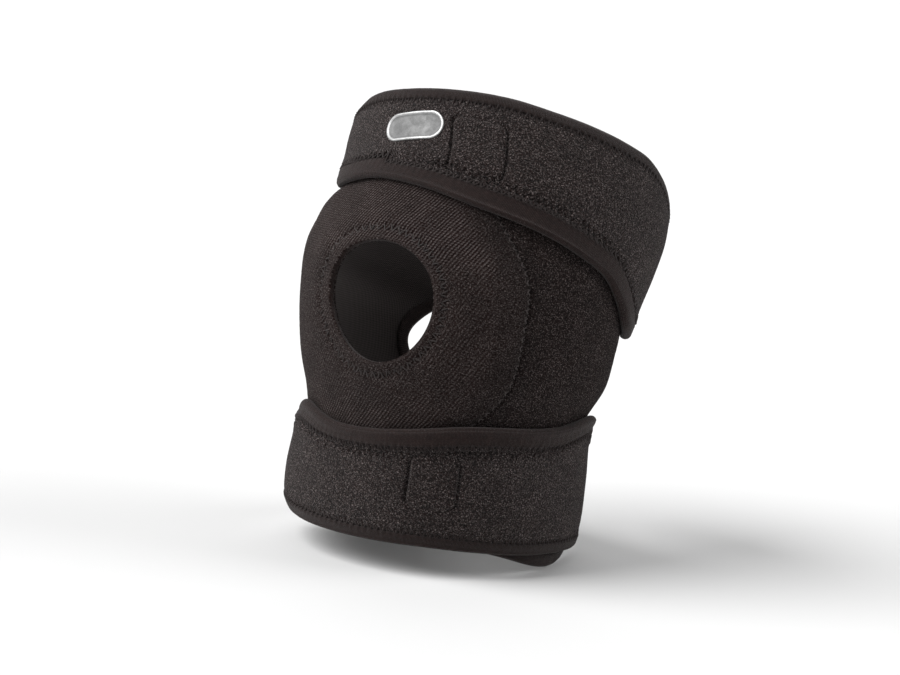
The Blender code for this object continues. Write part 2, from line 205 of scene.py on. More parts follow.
def spine(along):
    """(y, z, lean) of the leg's centre line, which bends through an arc at the knee."""
    reach = BEND_ARC * math.tan(KNEE_BEND / 2)
    lean = np.clip((along + BEND_HALF) / BEND_ARC, 0, KNEE_BEND)
    past = np.maximum(along - BEND_HALF, 0)
    short = np.minimum(along + BEND_HALF, 0)
    y = BEND_ARC * (1 - np.cos(lean)) + past * math.sin(KNEE_BEND)
    z = BEND_ARC * np.sin(lean) - reach + past * math.cos(KNEE_BEND) + short
    return y, z, lean


def on_leg(angle, along, height):
    """Points at angles round the leg, distances along it and heights above the skin, (..., 3)."""
    angle, along, height = np.broadcast_arrays(*(np.asarray(x, float) for x in (angle, along, height)))
    wide, front, back, shift = (np.interp(along, LEG_AT, shape) for shape in LEG_SHAPE)
    deep = np.where(np.cos(angle) > 0, front, back)
    out_x, out_y = np.sin(angle) / wide, -np.cos(angle) / deep
    size = np.hypot(out_x, out_y)
    x = shift + wide * np.sin(angle) + height * out_x / size
    across = -deep * np.cos(angle) + height * out_y / size
    y, z, lean = spine(along)
    return np.stack([x, y + across * np.cos(lean), z - across * np.sin(lean)], -1)


def out_of_leg(angle, along):
    """Unit vectors straight out of the leg."""
    step = on_leg(angle, along, 1.0) - on_leg(angle, along, 0.0)
    return step / np.linalg.norm(step, axis=-1, keepdims=True)


def flat_place(angle, along):
    """Millimetres round and along the cloth, as if it lay flat."""
    stretch = AROUND * np.cos(angle) / BEND_ARC
    return angle * AROUND, along + np.clip(along, -BEND_HALF, BEND_HALF) * stretch


def along_scale(angle, along):
    """Millimetres on the surface for a millimetre along the leg's centre line."""
    inside = np.abs(along) < BEND_HALF
    return 1 + np.where(inside, AROUND * np.cos(angle) / BEND_ARC, 0)


def around(angle, along):
    """Millimetres on the body's surface for a radian round the leg."""
    step = 0.001
    return np.linalg.norm(on_leg(angle + step, along, BODY_OUT) - on_leg(angle, along, BODY_OUT)) / step


def seam_angle(side, along):
    """The signed angle of the outer (1) or inner (-1) seam."""
    ends, bulge = SEAMS[side]
    return side * (ends + bulge * np.exp(-(((along - SEAM_BULGE_AT) / SEAM_BULGE_HALF) ** 4)))


def wing_end(along):
    """The angle where the wings end, less at the hollow behind the knee."""
    return WING_END - HOLLOW_CUT * hump(along, HOLLOW_AT, HOLLOW_HALF)


def up_body(share):
    """Distance along the leg of a share of the way up the body."""
    return BODY_BOTTOM + (BODY_TOP - BODY_BOTTOM) * share


def body_row(angle, share):
    """Distance along the leg of a row of the body, which drops to a tail on the outer side."""
    drop = TAIL_DROP * hump(angle, TAIL_AT, TAIL_HALF)
    return up_body(share) - drop * (1 - fade(share / TAIL_FADE))


def seam_line(side, share, shift=0.0):
    """Places up a side seam, shifted round the leg."""
    angle = seam_angle(side, up_body(share)) + shift
    return angle, body_row(angle, share)


def opening_place(turn, factor):
    """A place round the knee opening; factor 1 is its edge."""
    q = factor * np.sin(turn)
    x = OPENING_LEAN * q + factor * np.cos(turn) * OPENING_HALF[0] * (1 + OPENING_WIDER_ABOVE * q)
    return OPENING_AT[0] + x / around(*OPENING_AT), OPENING_AT[1] + q * OPENING_HALF[1]


def opening_turn(angle, along):
    """The (turn, factor) at which opening_place passes through places."""
    q = (along - OPENING_AT[1]) / OPENING_HALF[1]
    x = (angle - OPENING_AT[0]) * around(*OPENING_AT) - OPENING_LEAN * q
    p = x / OPENING_HALF[0] / np.maximum(1 + OPENING_WIDER_ABOVE * q, 0.3)
    return np.arctan2(q, p), np.hypot(p, q)


def strap_edge(points, angle, inwards):
    """Distance along the leg of a strap's edge, rounded off towards its free tip."""
    share = np.clip((angle - TIP) / TIP_TURN, 0, 1)
    return smoothly(points, angle / DEG) + inwards * TIP_ROUND * (1 - np.sqrt(1 - (1 - share) ** 2))


def knee_weight(angle, along):
    """0 on the calf cuff, 1 on the thigh cuff, rising through the cloth between the straps."""
    low, high = smoothly(BEND_FROM, angle / DEG), smoothly(BEND_TO, angle / DEG)
    t = np.clip((along - low) / (high - low), 0, 1)
    return t - 0.5 * np.sin(TAU * t) / TAU


def hinge_weight(angle, along):
    """0 on a strap's sewn root, 1 on its free flap."""
    return fade((angle - HINGE_FROM) / (HINGE_TO - HINGE_FROM)) + 0 * along


def ripple(u, v, wavelength, seed, waves=12):
    """An uneven field of about -1 to 1 with bumps about a wavelength apart."""
    rng = np.random.default_rng(seed)
    total = np.zeros(np.broadcast(u, v).shape)
    for _ in range(waves):
        turn, phase = rng.uniform(0, TAU), rng.uniform(0, TAU)
        k = TAU / (wavelength * rng.uniform(0.75, 1.35))
        total += np.sin(k * (u * math.cos(turn) + v * math.sin(turn)) + phase)
    return total / math.sqrt(2 * waves)


# ---------------------------------------------------------------- materials


PILE_SHEEN, KNIT_SHEEN, PILE_GLOSS = 0.10, 0.038, 0.03
# The knit's ribs slant: their phase is v (crowding - loosening v) - u (rise + turning v), in millimetres
RIB_CROWDING, RIB_LOOSENING, RIB_RISE, RIB_TURNING, RIB_SPACING = 1.22, 0.0018, 2.05, 0.0045, 3.12
RIB_LOOP, RIB_DOWN = 1.05, (0.49, 0.87)  # the pitch of the loops down a rib, and the way down it
# DYE and WARM are the cloth's own tints; the second tint is neutral: painted sheen on the lightest stops of
# the pile, knit and tape colours, and the own colour of the pale seam and ring threads
DYE, SHEEN_AND_THREAD_TINT, WARM, WHITE = (1.0, 0.46, 0.39), (1.0, 0.82, 0.79), (1.0, 0.82, 0.78), (1.0, 1.0, 1.0)


class Field:
    """A value, colour or place that varies over the cloth: one output of a material's nodes."""

    def __init__(self, look, output):
        self.look, self.output = look, output

    def math(self, operation, *others):
        return self.look.node("Math", dict(enumerate((self, *others))), "Value", operation=operation)

    def __mul__(self, other):
        return self.math("MULTIPLY", other)

    def __sub__(self, other):
        return self.math("SUBTRACT", other)

    def fit(self, scale, shift):
        return self.math("MULTIPLY_ADD", scale, shift)

    def clamped(self):
        return self.look.node("Clamp", {"Value": self}, "Result")

    def wave(self, pitch):
        """A sine from 0 to 1 with a pitch in millimetres."""
        return self.fit(TAU / pitch, 0.0).math("SINE").fit(0.5, 0.5)

    def split(self):
        return [self.look.node("SeparateXYZ", {"Vector": self}, axis) for axis in "XY"]

    def ramp(self, *stops, tint=DYE):
        """A colour from this value; stops are (place, level) or (place, level, tint of its own)."""
        made = self.look.node("ValToRGB", {"Fac": self}, "Color")
        elements = made.output.node.color_ramp.elements
        while len(elements) < len(stops):
            elements.new(0.5)
        for element, (place, level, *own) in zip(elements, stops):
            element.position = place
            element.color = (*(level * c for c in (own[0] if own else tint)), 1)
        return made

    def tinted(self, shade):
        """This colour, multiplied by another."""
        inputs = {0: 1.0, 6: self, 7: shade}
        return self.look.node("Mix", inputs, 2, data_type="RGBA", blend_type="MULTIPLY")

    def shaded(self, mask, depth):
        """This colour, darker by a depth where the mask is 1."""
        return self.tinted(mask.ramp((0.0, 1.0), (1.0, 1 - depth), tint=WHITE))


class Look:
    """Builds one procedural fabric material from the flat cloth coordinates."""

    def __init__(self, name, roughness, specular, sheen=0.0, sheen_rough=0.5, metallic=0.0):
        self.material = bpy.data.materials.new(name)
        self.material.use_nodes = True
        self.tree = self.material.node_tree
        shine = {"Roughness": roughness, "Metallic": metallic, "Specular IOR Level": specular}
        self.fill(shine | {"Sheen Weight": sheen, "Sheen Roughness": sheen_rough})
        self.place = self.node("UVMap", {}, "UV", uv_map="cloth")
        self.u, self.v = self.place.split()

    def fill(self, inputs, node="Principled BSDF"):
        """Sets a node's inputs to plain values, or links fields to them."""
        for name, value in inputs.items():
            socket = self.tree.nodes[node].inputs[name]
            if isinstance(value, Field):
                self.tree.links.new(value.output, socket)
            else:
                socket.default_value = value

    def node(self, kind, inputs, output, **settings):
        """One output of a new node."""
        made = self.tree.nodes.new("ShaderNode" + kind)
        for name, value in settings.items():
            setattr(made, name, value)
        self.fill(inputs, made.name)
        return Field(self, made.outputs[output])

    def warped(self, size, reach):
        """The cloth coordinates, pushed about by noise of a size, both in millimetres."""
        drift = self.node("TexNoise", {"Scale": 1 / size, "Detail": 1, "Vector": self.place}, "Color")
        inputs = {0: drift, 1: (reach, reach, 0), 2: self.place}
        return self.node("VectorMath", inputs, "Vector", operation="MULTIPLY_ADD")

    def noise(self, size, detail=2.0, rough=0.5, vector=None):
        """Noise with features of a size in millimetres."""
        inputs = {"Scale": 1 / size, "Detail": detail, "Roughness": rough, "Vector": vector or self.place}
        return self.node("TexNoise", inputs, "Fac")

    def cells(self, size, vector=None, smooth=0.0):
        """Distance to the middle of cells of a size in millimetres."""
        inputs = {"Scale": 1 / size, "Vector": vector or self.place}
        if smooth:
            inputs["Smoothness"] = smooth
        return self.node("TexVoronoi", inputs, "Distance", feature="SMOOTH_F1" if smooth else "F1")

    def worn(self, size, spread):
        """Patches of lighter and darker cloth, as a colour to multiply by."""
        return self.noise(size).ramp((0.3, 1 - spread), (0.7, 1 + spread), tint=WHITE)

    def beside_seam(self, reach):
        """1 on the outer seam, falling to 0 at a reach in millimetres to either side of it."""
        ends, bulge = SEAMS[1]
        scale = float(along_scale(ends + bulge, 0.0))
        up = self.v.fit(1 / (SEAM_BULGE_HALF * scale), -SEAM_BULGE_AT / SEAM_BULGE_HALF)
        square = up * up
        seam = (square * square * -1.0).math("EXPONENT").fit(bulge * AROUND, ends * AROUND)
        return (self.u - seam).math("ABSOLUTE").fit(-1 / reach, 1.0).clamped()

    def dressed(self, colour, height, depth, strength=1.0):
        """The material, coloured, and embossed to a depth in millimetres where the height is 1."""
        inputs = {"Distance": depth * METRES, "Strength": strength, "Height": height}
        self.fill({"Base Color": colour, "Normal": self.node("Bump", inputs, "Normal")})
        return self.material


def pile_look(name, size, level, sheen=PILE_SHEEN, by_seam=False):
    """Brushed loop pile: curled loops under a millimetre across; the light they catch one by one and the
    shade between them are painted into the colour.
    """
    look = Look(name, 0.95, PILE_GLOSS, sheen)
    curled = look.warped(1.3 * size, 1.0 * size)
    tufts, loops = look.noise(0.60 * size, 2.0, 0.62, curled), look.cells(0.74 * size, curled)
    lit = tufts.fit(1.75, -0.20) - loops * 0.62
    # Painted light and shade: the ramp lights the loops' tips and darkens the hollows between them, its
    # lightest stops in the neutral painted-sheen tint
    shade = lit.ramp(
        (0.16, 0.004 * level),
        (0.38, 0.016 * level),
        (0.54, 0.056 * level, SHEEN_AND_THREAD_TINT),
        (0.80, 0.21 * level, SHEEN_AND_THREAD_TINT),
    )
    if by_seam:
        shade = shade.shaded(look.beside_seam(12), 0.30)
    return look.dressed(shade.tinted(look.worn(11, 0.16)), lit, 1.3 * size)


def rib_look(name):
    """Knit jersey with fine slanting ribs of small loops, clearest where the cloth is drawn tight above
    the opening and below it, and brushed to a soft speckle in between."""
    look = Look(name, 0.9, PILE_GLOSS, KNIT_SHEEN)
    above, below = look.v.fit(1 / 12, -1.0).clamped(), look.v.fit(-1 / 12, -2.6).clamped()
    by_seam = look.beside_seam(14)
    clear = (look.noise(5).fit(1.0, above.fit(0.45, below * 0.35)) - 0.22 - by_seam).clamped()
    u, v = look.warped(9, 1.2).split()
    across = v * v.fit(-RIB_LOOSENING, RIB_CROWDING) - v.fit(RIB_TURNING, RIB_RISE) * u
    down = v.fit(RIB_DOWN[1], u * RIB_DOWN[0])
    loops = down.fit(TAU / RIB_LOOP, across * (TAU / RIB_SPACING / 2)).math("SINE").fit(0.5, 0.5)
    knit = loops.fit(0.30, across.wave(RIB_SPACING) * 0.70)
    curled = look.warped(1.2, 0.9)
    fuzz = look.noise(0.50, 2.0, 0.62, curled).fit(2.0, -0.34) - look.cells(0.66, curled) * 0.42
    height = ((knit - fuzz) * clear).fit(0.66, fuzz)
    # Painted light and shade: the ramp paints the ribs' crests and the fuzz's tips lighter and the hollows
    # between them darker, its lightest stops in the neutral painted-sheen tint
    shade = height.ramp((0.10, 0.003), (0.36, 0.014), (0.60, 0.044, SHEEN_AND_THREAD_TINT), (0.92, 0.16, SHEEN_AND_THREAD_TINT))
    return look.dressed(shade.shaded(by_seam, 0.25).tinted(look.worn(14, 0.18)), height, 0.95)


def tape_look(name):
    """Smooth close-knit edge tape."""
    look = Look(name, 0.8, 0.15, PILE_SHEEN, 0.45)
    weave = look.u.wave(0.55) * look.v.wave(0.44)
    height = look.noise(0.7, 2.0, 0.6).fit(1.1, weave.fit(0.4, -0.1))
    # The lightest stop of the tape's colour carries the neutral painted-sheen tint
    shade = height.ramp((0.2, 0.005), (0.6, 0.015), (0.95, 0.036, SHEEN_AND_THREAD_TINT))
    return look.dressed(shade.tinted(look.worn(3, 0.24)), height, 0.38, 0.9)


def lining_look(name):
    """The smooth jersey inside, with fine upright wales."""
    look = Look(name, 0.85, 0.15, PILE_SHEEN)
    height = look.noise(0.6).fit(0.4, look.v.wave(0.9).fit(0.35, look.u.wave(0.8) * 0.65))
    shade = height.ramp((0.2, 0.012), (0.7, 0.028), (0.92, 0.046), tint=WARM)
    return look.dressed(shade, height, 0.16, 0.8)


def elastic_look(name):
    """Woven elastic: ribs along the band, crossed by the covered rubber's fine ticks."""
    look = Look(name, 0.75, 0.2, PILE_SHEEN)
    height = look.noise(0.4).fit(0.3, look.u.wave(0.7).fit(0.4, look.v.wave(1.5) * 0.6))
    shade = height.ramp((0.2, 0.008), (0.7, 0.024), (1.0, 0.044), tint=WARM)
    return look.dressed(shade, height, 0.22, 0.9)


def thread_look(name, lift=1.0, tint=DYE):
    """Twisted polyester thread."""
    look = Look(name, 0.6, 0.25, 0.03)
    turned = look.node("Mapping", {"Vector": look.place, "Rotation": (0, 0, 35 * DEG)}, "Vector")
    twist = turned.split()[0].wave(0.35)
    shade = twist.ramp((0.0, 0.004 * lift), (1.0, 0.016 * lift), tint=tint)
    return look.dressed(shade, twist, 0.05, 0.8)


def foam_look(name):
    """Closed-cell foam with fine open pores."""
    look = Look(name, 0.85, 0.25)
    height = look.noise(0.5, 3.0).fit(0.5, look.cells(0.7, smooth=0.2) * 0.9)
    shade = height.ramp((0.2, 0.020), (0.9, 0.065, (1.0, 1.0, 1.03)), tint=WHITE)
    return look.dressed(shade, height, 0.2, 0.8)


def hook_look(name):
    """Moulded nylon hook tape."""
    look = Look(name, 0.42, 0.5)
    height = look.noise(0.5)
    shade = height.ramp((0.3, 0.012), (0.8, 0.028, (1.0, 1.0, 1.02)), tint=WHITE)
    return look.dressed(shade, height, 0.05, 0.6)


def silver_look(name, level, roughness, grain):
    """Heat-bonded silver film with a fine grain and faint scuffs."""
    look = Look(name, roughness, 0.5, metallic=0.75)
    speckle, scuffs = look.noise(grain, 3.0, 0.65), look.noise(4, 4.0, 0.7)
    shade = speckle.ramp((0.3, level * 0.72), (0.7, level), tint=WHITE)
    look.fill({"Roughness": scuffs.ramp((0.3, roughness + 0.2), (0.7, roughness), tint=WHITE)})
    return look.dressed(shade.tinted(scuffs.ramp((0.35, 0.84), (0.6, 1.0), tint=WHITE)), speckle, 0.05, 0.7)


LOOKS = {
    "pile": pile_look("loop_pile", 0.88, 1.1),
    "wing": pile_look("fine_loop_pile", 0.78, 0.86, KNIT_SHEEN, True),
    "rib": rib_look("ribbed_knit"),
    "tape": tape_look("edge_tape"),
    "lining": lining_look("jersey_lining"),
    "elastic": elastic_look("woven_elastic"),
    "thread": thread_look("black_thread"),
    "seam_thread": thread_look("seam_thread", 5.0, SHEEN_AND_THREAD_TINT),
    "ring_thread": thread_look("ring_thread", 3.6, SHEEN_AND_THREAD_TINT),
    "foam": foam_look("closed_cell_foam"),
    "hook": hook_look("hook_nylon"),
    "silver": silver_look("silver_film", 0.17, 0.5, 0.35),
    "silver_rim": silver_look("silver_rim", 0.45, 0.35, 0.8),
}


# ---------------------------------------------------------------- meshes


def added(name, data):
    """A new object in the scene."""
    made = bpy.data.objects.new(name, data)
    bpy.context.scene.collection.objects.link(made)
    return made


def make_mesh(name, points, quads, uv, looks, face_looks=None, caps=()):
    """A mesh object from points in millimetres, quads, cloth coordinates and extra faces as caps."""
    points = np.asarray(points, float).reshape(-1, 3) * METRES
    quads = np.asarray(quads, np.int32).reshape(-1, 4)
    corners = np.concatenate([quads.ravel(), *(np.asarray(c, np.int32) for c in caps)])
    sizes = np.concatenate([np.full(len(quads), 4), np.array([len(c) for c in caps], int)]).astype(np.int32)
    mesh = bpy.data.meshes.new(name)
    mesh.vertices.add(len(points))
    mesh.vertices.foreach_set("co", points.astype(np.float32).ravel())
    mesh.loops.add(len(corners))
    mesh.loops.foreach_set("vertex_index", corners.astype(np.int32))
    mesh.polygons.add(len(sizes))
    mesh.polygons.foreach_set("loop_start", np.concatenate([[0], np.cumsum(sizes)[:-1]]).astype(np.int32))
    mesh.polygons.foreach_set("loop_total", sizes)
    layer = mesh.uv_layers.new(name="cloth")
    layer.data.foreach_set("uv", np.asarray(uv, np.float32).reshape(-1, 2)[corners].ravel())
    for look in looks:
        mesh.materials.append(LOOKS[look])
    if face_looks is not None:
        index = np.concatenate([face_looks, np.zeros(len(caps), int)]).astype(np.int32)
        mesh.polygons.foreach_set("material_index", index)
    mesh.polygons.foreach_set("use_smooth", np.ones(len(sizes), bool))
    mesh.update()
    mesh.validate()
    return added(name, mesh)


def grid_quads(rows, columns, ring=False):
    """Quads over a grid of points stored column by column."""
    i = np.arange(columns if ring else columns - 1)[:, None]
    j = np.arange(rows - 1)[None, :]
    here, there = i * rows + j, (i + 1) % columns * rows + j
    return np.stack([here, there, there + 1, here + 1], -1).reshape(-1, 4)


def shell(name, angle, along, inner, outer, looks, ring=False):
    """A closed cloth shell over a grid of places, arrays (columns, rows), between two heights.

    Columns run up the leg and come in order of rising angle. looks are the outer and inner material."""
    columns, rows = angle.shape
    size = columns * rows
    points = np.concatenate([on_leg(angle, along, h).reshape(-1, 3) for h in (outer, inner)])
    flat = np.stack(flat_place(angle, along), -1).reshape(-1, 2)
    out = grid_quads(rows, columns, ring)
    rims = []
    count = columns if ring else columns - 1
    i = np.arange(count)
    here, there = i * rows, (i + 1) % columns * rows
    rims.append(np.stack([here + size, there + size, there, here], -1))
    rims.append(np.stack([here, there, there + size, here + size], -1) + rows - 1)
    if not ring:
        j = np.arange(rows - 1)
        far = (columns - 1) * rows + j
        rims.append(np.stack([j, j + 1, j + 1 + size, j + size], -1))
        rims.append(np.stack([far + 1, far, far + size, far + 1 + size], -1))
    rims = np.concatenate(rims)
    quads = np.concatenate([out, out[:, ::-1] + size, rims])
    face_looks = np.concatenate([np.zeros(len(out)), np.ones(len(out)), np.zeros(len(rims))])
    made = make_mesh(name, points, quads, np.concatenate([flat, flat]), looks, face_looks)
    return made, np.tile(angle.ravel(), 2), np.tile(along.ravel(), 2)


def closed(values, ring):
    """Values, with the first one again at the end of a ring."""
    return np.concatenate([values, values[:1]]) if ring else values


def steps(values, ring):
    """Steps between the neighbours of each value or point."""
    return np.roll(values, -1, 0) - np.roll(values, 1, 0) if ring else np.gradient(values, axis=0)


def relaxed(values):
    """Values drawn towards their neighbours, between fixed ends."""
    out = values.copy()
    out[1:-1] = (values[:-2] + 2 * values[1:-1] + values[2:]) / 4
    return out


class Edge:
    """A line of places on the leg, evenly spaced, with the direction that leads onto the cloth."""

    def __init__(self, angle, along, spacing=0.6, ring=False, smooth=0):
        angle, along = (closed(np.asarray(values, float), ring) for values in (angle, along))
        length = self.lengths(angle, along)
        count = max(int(length[-1] / spacing), 8)
        at = np.linspace(0, length[-1], count + 1)
        angle, along = np.interp(at, length, angle), np.interp(at, length, along)
        if ring:
            angle, along = angle[:-1], along[:-1]
        for _ in range(smooth):
            angle, along = relaxed(angle), relaxed(along)
        self.ring, self.angle, self.along = ring, angle, along
        step_angle, step_along = steps(angle, ring) * AROUND, steps(along, ring) * along_scale(angle, along)
        size = np.hypot(step_angle, step_along)
        self.into = np.stack([-step_along / size, step_angle / size], -1)
        length = self.lengths(closed(angle, ring), closed(along, ring))
        self.total, self.length = length[-1], length[: len(angle)]

    @staticmethod
    def lengths(angle, along):
        middle = (angle[1:] + angle[:-1]) / 2, (along[1:] + along[:-1]) / 2
        step = np.hypot(np.diff(angle) * AROUND, np.diff(along) * along_scale(*middle))
        return np.concatenate([[0], np.cumsum(step)])

    def place(self, at, inset):
        """Places at lengths along the edge and distances onto the cloth."""
        period = self.total if self.ring else None
        angle, along, x, y = (
            np.interp(at, self.length, values, period=period)
            for values in (self.angle, self.along, self.into[:, 0], self.into[:, 1])
        )
        return angle + x * inset / AROUND, along + y * inset / along_scale(angle, along)


# The width a tape's section is drawn at, the part that is its fold, and the points on its outer face
TAPE_REACH, FOLD, TAPE_OUTER = 10.0, 0.9, 8


def tape_section(thick):
    """The outside of a folded tape from its outer hem round the edge to its inner hem, as (inset, side,
    lift): side is 1 over the cloth's outer face and 0 under its inner one."""
    turn, reach = np.linspace(0, math.pi, 9), TAPE_REACH
    outer = [(reach, 1, -0.1), (reach - 0.05, 1, 0.75 * thick), (reach - 0.5, 1, thick)]
    outer += [(x, 1, thick) for x in np.linspace(reach - 1.2, FOLD, TAPE_OUTER - len(outer))]
    fold = [(FOLD - (FOLD + thick) * math.sin(t), (1 + math.cos(t)) / 2, thick * math.cos(t)) for t in turn]
    inner = [(x, 0, -thick) for x in np.linspace(FOLD, reach - 0.5, 4)[1:]]
    inner += [(reach, 0, -0.6 * thick), (reach, 0, 0.1)]
    return np.array(outer + fold + inner)


def folded_tape(name, edge, reach, heights, look="tape", thick=TAPE, pucker=0.07, pitch=2.8, ridge=0.0):
    """Binding tape folded over an edge. reach may vary along it. heights(angle, along) gives the cloth's
    (inner, outer) height. The tape is puckered at its stitches' pitch."""
    count = len(edge.angle)
    reach = np.broadcast_to(reach, count)
    base = tape_section(thick)
    sides = len(base)
    inset, side, lift = (np.tile(base[:, k], (count, 1)) for k in range(3))
    wider = (reach[:, None] - FOLD) / (TAPE_REACH - FOLD)
    inset = np.where(inset > FOLD, FOLD + (inset - FOLD) * wider, inset)
    at = np.tile(edge.length[:, None], (1, sides))
    angle, along = edge.place(at, np.maximum(inset, 0))
    off_angle, off_along = edge.place(at, inset)
    inner, outer = heights(angle, along)
    height = inner + (outer - inner) * side + lift
    near_hem = fade((inset - 1.0) / np.maximum(reach[:, None] - 1.0, 1))
    puckers = pucker * near_hem * np.cos(TAU * at / pitch)
    height += np.where(side > 0.5, 1, -1) * (puckers + 0.05 * ripple(at, inset, 7, 5))
    if ridge:
        middle = reach[:, None] * 0.47
        groove = ridge * (reach[:, None] > 6) * hump(inset, middle, 0.45)
        height -= np.where(side > 0.5, groove, 0)
    points = on_leg(off_angle, off_along, height)
    if look == "rib":
        folded = np.where(side >= 0.5, inset, -inset) - (1 - side) * (outer - inner)
        uv = np.stack(flat_place(*edge.place(at, folded)), -1)
    else:
        across = np.concatenate([[0], np.cumsum(np.abs(np.diff(base[:, 0])) + 0.3)])
        uv = np.stack([at, np.tile(across, (count, 1))], -1)
    inside_points, inside_uv = tape_inside(edge, reach, heights)
    quads = tube_quads(count, sides + inside_points.shape[1], edge.ring)
    points = np.concatenate([points, inside_points], 1)
    uv = np.concatenate([uv, inside_uv], 1)
    wide = points.shape[1]
    face_looks = np.tile((np.arange(wide) >= TAPE_OUTER) & (look == "rib"), len(quads) // wide)
    caps = end_caps(count, wide, edge.ring)
    made = make_mesh(name, points, quads, uv, (look, "tape"), face_looks.astype(int), caps)
    places = [np.concatenate([p, np.repeat(p[:, -1:], wide - sides, 1)], 1) for p in (angle, along)]
    return made, places[0].ravel(), places[1].ravel()


def tape_inside(edge, reach, heights):
    """The hidden side of a folded tape, against the cloth, from its inner hem back to its outer hem."""
    fold = np.ones(len(reach))
    inset = np.stack([reach - 0.3, fold, fold, reach - 0.3], -1)
    side = np.tile([0, 0, 1, 1], (len(reach), 1))
    at = np.tile(edge.length[:, None], (1, 4))
    angle, along = edge.place(at, inset)
    inner, outer = heights(angle, along)
    height = inner + (outer - inner) * side + np.where(side > 0.5, -0.25, 0.25)
    return on_leg(angle, along, height), np.stack([at, inset], -1)


def end_caps(count, sides, ring=False):
    """The two ends of a tube of count sections with sides points each, unless it is a ring."""
    end = np.arange(sides)
    return [] if ring else [end[::-1], end + (count - 1) * sides]


def tube_quads(count, sides, ring=False):
    """Quads of a tube of count sections with sides points each, facing out."""
    i = np.arange(count if ring else count - 1)[:, None]
    j = np.arange(sides)[None, :]
    k = (j + 1) % sides
    here, there = i * sides, (i + 1) % count * sides
    return np.stack([here + j, here + k, there + k, there + j], -1).reshape(-1, 4)


def thread_parts(angle, along, height, radius, ring, sides):
    """Points, quads, cloth coordinates and caps of a thread along places."""
    path = on_leg(angle, along, height)
    step = steps(path, ring)
    step /= np.maximum(np.linalg.norm(step, axis=1, keepdims=True), 1e-9)
    out = out_of_leg(angle, along)
    out = out - (out * step).sum(1, keepdims=True) * step
    out /= np.maximum(np.linalg.norm(out, axis=1, keepdims=True), 1e-9)
    side = np.cross(out, step)
    turn = np.arange(sides) * TAU / sides
    rounds = out[:, None] * np.cos(turn)[:, None] + side[:, None] * np.sin(turn)[:, None]
    points = path[:, None] + radius * rounds
    moved = np.diff(path, axis=0, prepend=path[:1])
    length = np.cumsum(np.linalg.norm(moved, axis=1))
    uv = np.stack(np.broadcast_arrays(length[:, None], turn[None, :] * radius), -1)
    caps = end_caps(len(path), sides, ring)
    return points.reshape(-1, 3), tube_quads(len(path), sides, ring), uv.reshape(-1, 2), caps


def threads(name, runs, look="thread", sides=6):
    """One mesh of several threads; runs are (angle, along, height, radius, ring)."""
    parts = [thread_parts(*run, sides) for run in runs]
    starts = np.cumsum([0] + [len(part[0]) for part in parts])
    points, uv = (np.concatenate([part[k] for part in parts]) for k in (0, 2))
    quads = np.concatenate([part[1] + start for part, start in zip(parts, starts)])
    caps = [cap + start for part, start in zip(parts, starts) for cap in part[3]]
    angle, along = (np.concatenate([np.repeat(run[k], sides) for run in runs]) for k in (0, 1))
    return make_mesh(name, points, quads, uv, (look,), caps=caps), angle, along


def overlock(edge, hems, spike, pitch, heights, radius=0.42, lift=0.10, rng_seed=3, tape=TAPE):
    """The stitches that hold a folded tape: spikes from its hem out over the cloth and back.

    hems is the hem's distance from the edge and lift the thread's height over the cloth, which may both
    vary; heights gives the cloth's outer height and tape is the tape's thickness."""
    stitches = int(edge.total / pitch)
    pitch = edge.total / stitches
    rng = np.random.default_rng(rng_seed)
    reach = np.repeat(spike * rng.uniform(0.85, 1.15, stitches), 6)
    k = np.repeat(np.arange(stitches), 6)
    part = np.tile([0.0, 0.12, 0.30, 0.42, 0.55, 0.80], stitches)
    out = np.tile([0.0, 0.45, 0.92, 1.0, 0.80, 0.22], stitches)
    at = (k + part) * pitch
    hem, lift = (np.interp(at, edge.length, np.broadcast_to(x, len(edge.length))) for x in (hems, lift))
    inset = hem - 0.55 + (reach + 0.55) * out
    angle, along = edge.place(at, inset)
    over_tape = 1 - fade((inset - hem) / 0.5 + 0.5)
    surface = heights(angle, along)
    height = surface + lift + over_tape * tape - np.where(out > 0.85, 0.42, 0.0)
    return angle, along, height, radius, edge.ring


DENT_HALF = 0.672


def spike_dent(at, inset, hem, spike, pitch, depth):
    """How far the pile is pulled in under overlock spikes, at lengths along an edge and insets from it."""
    part = (at / pitch) % 1.0
    reach = np.interp(part, [0, 0.30, 0.42, 0.80, 1.0], [0, 0.92, 1.0, 0.22, 0])
    line = hem - 0.2 + (spike + 0.2) * reach
    return depth * hump(inset, line, DENT_HALF) * (inset > hem - 0.6)


# ---------------------------------------------------------------- cloth heights


def seam_groove(angle, along):
    """The valley along the two side seams."""
    seam = np.where(angle > 0, seam_angle(1, along), seam_angle(-1, along))
    apart = np.abs(angle - seam) * AROUND
    return 0.50 * hump(apart, 0, 0.9) - 0.12 * hump(apart, 3.0, 1.6)


def opening_distance(angle, along):
    """Millimetres outside the knee opening's edge."""
    turn, factor = opening_turn(angle, along)
    edge_angle, edge_along = opening_place(turn, 1.0)
    apart = np.hypot((angle - edge_angle) * AROUND, (along - edge_along) * along_scale(angle, along))
    return np.where(factor < 1, -apart, apart), turn


RING_SPIKE, RING_STITCHES, RING_TAPE = 2.4, 54, 0.16


def ring_hem(turn):
    """The opening tape's width at a turn round the opening, narrower towards the outer side."""
    return 4.3 - 1.0 * np.cos(turn)


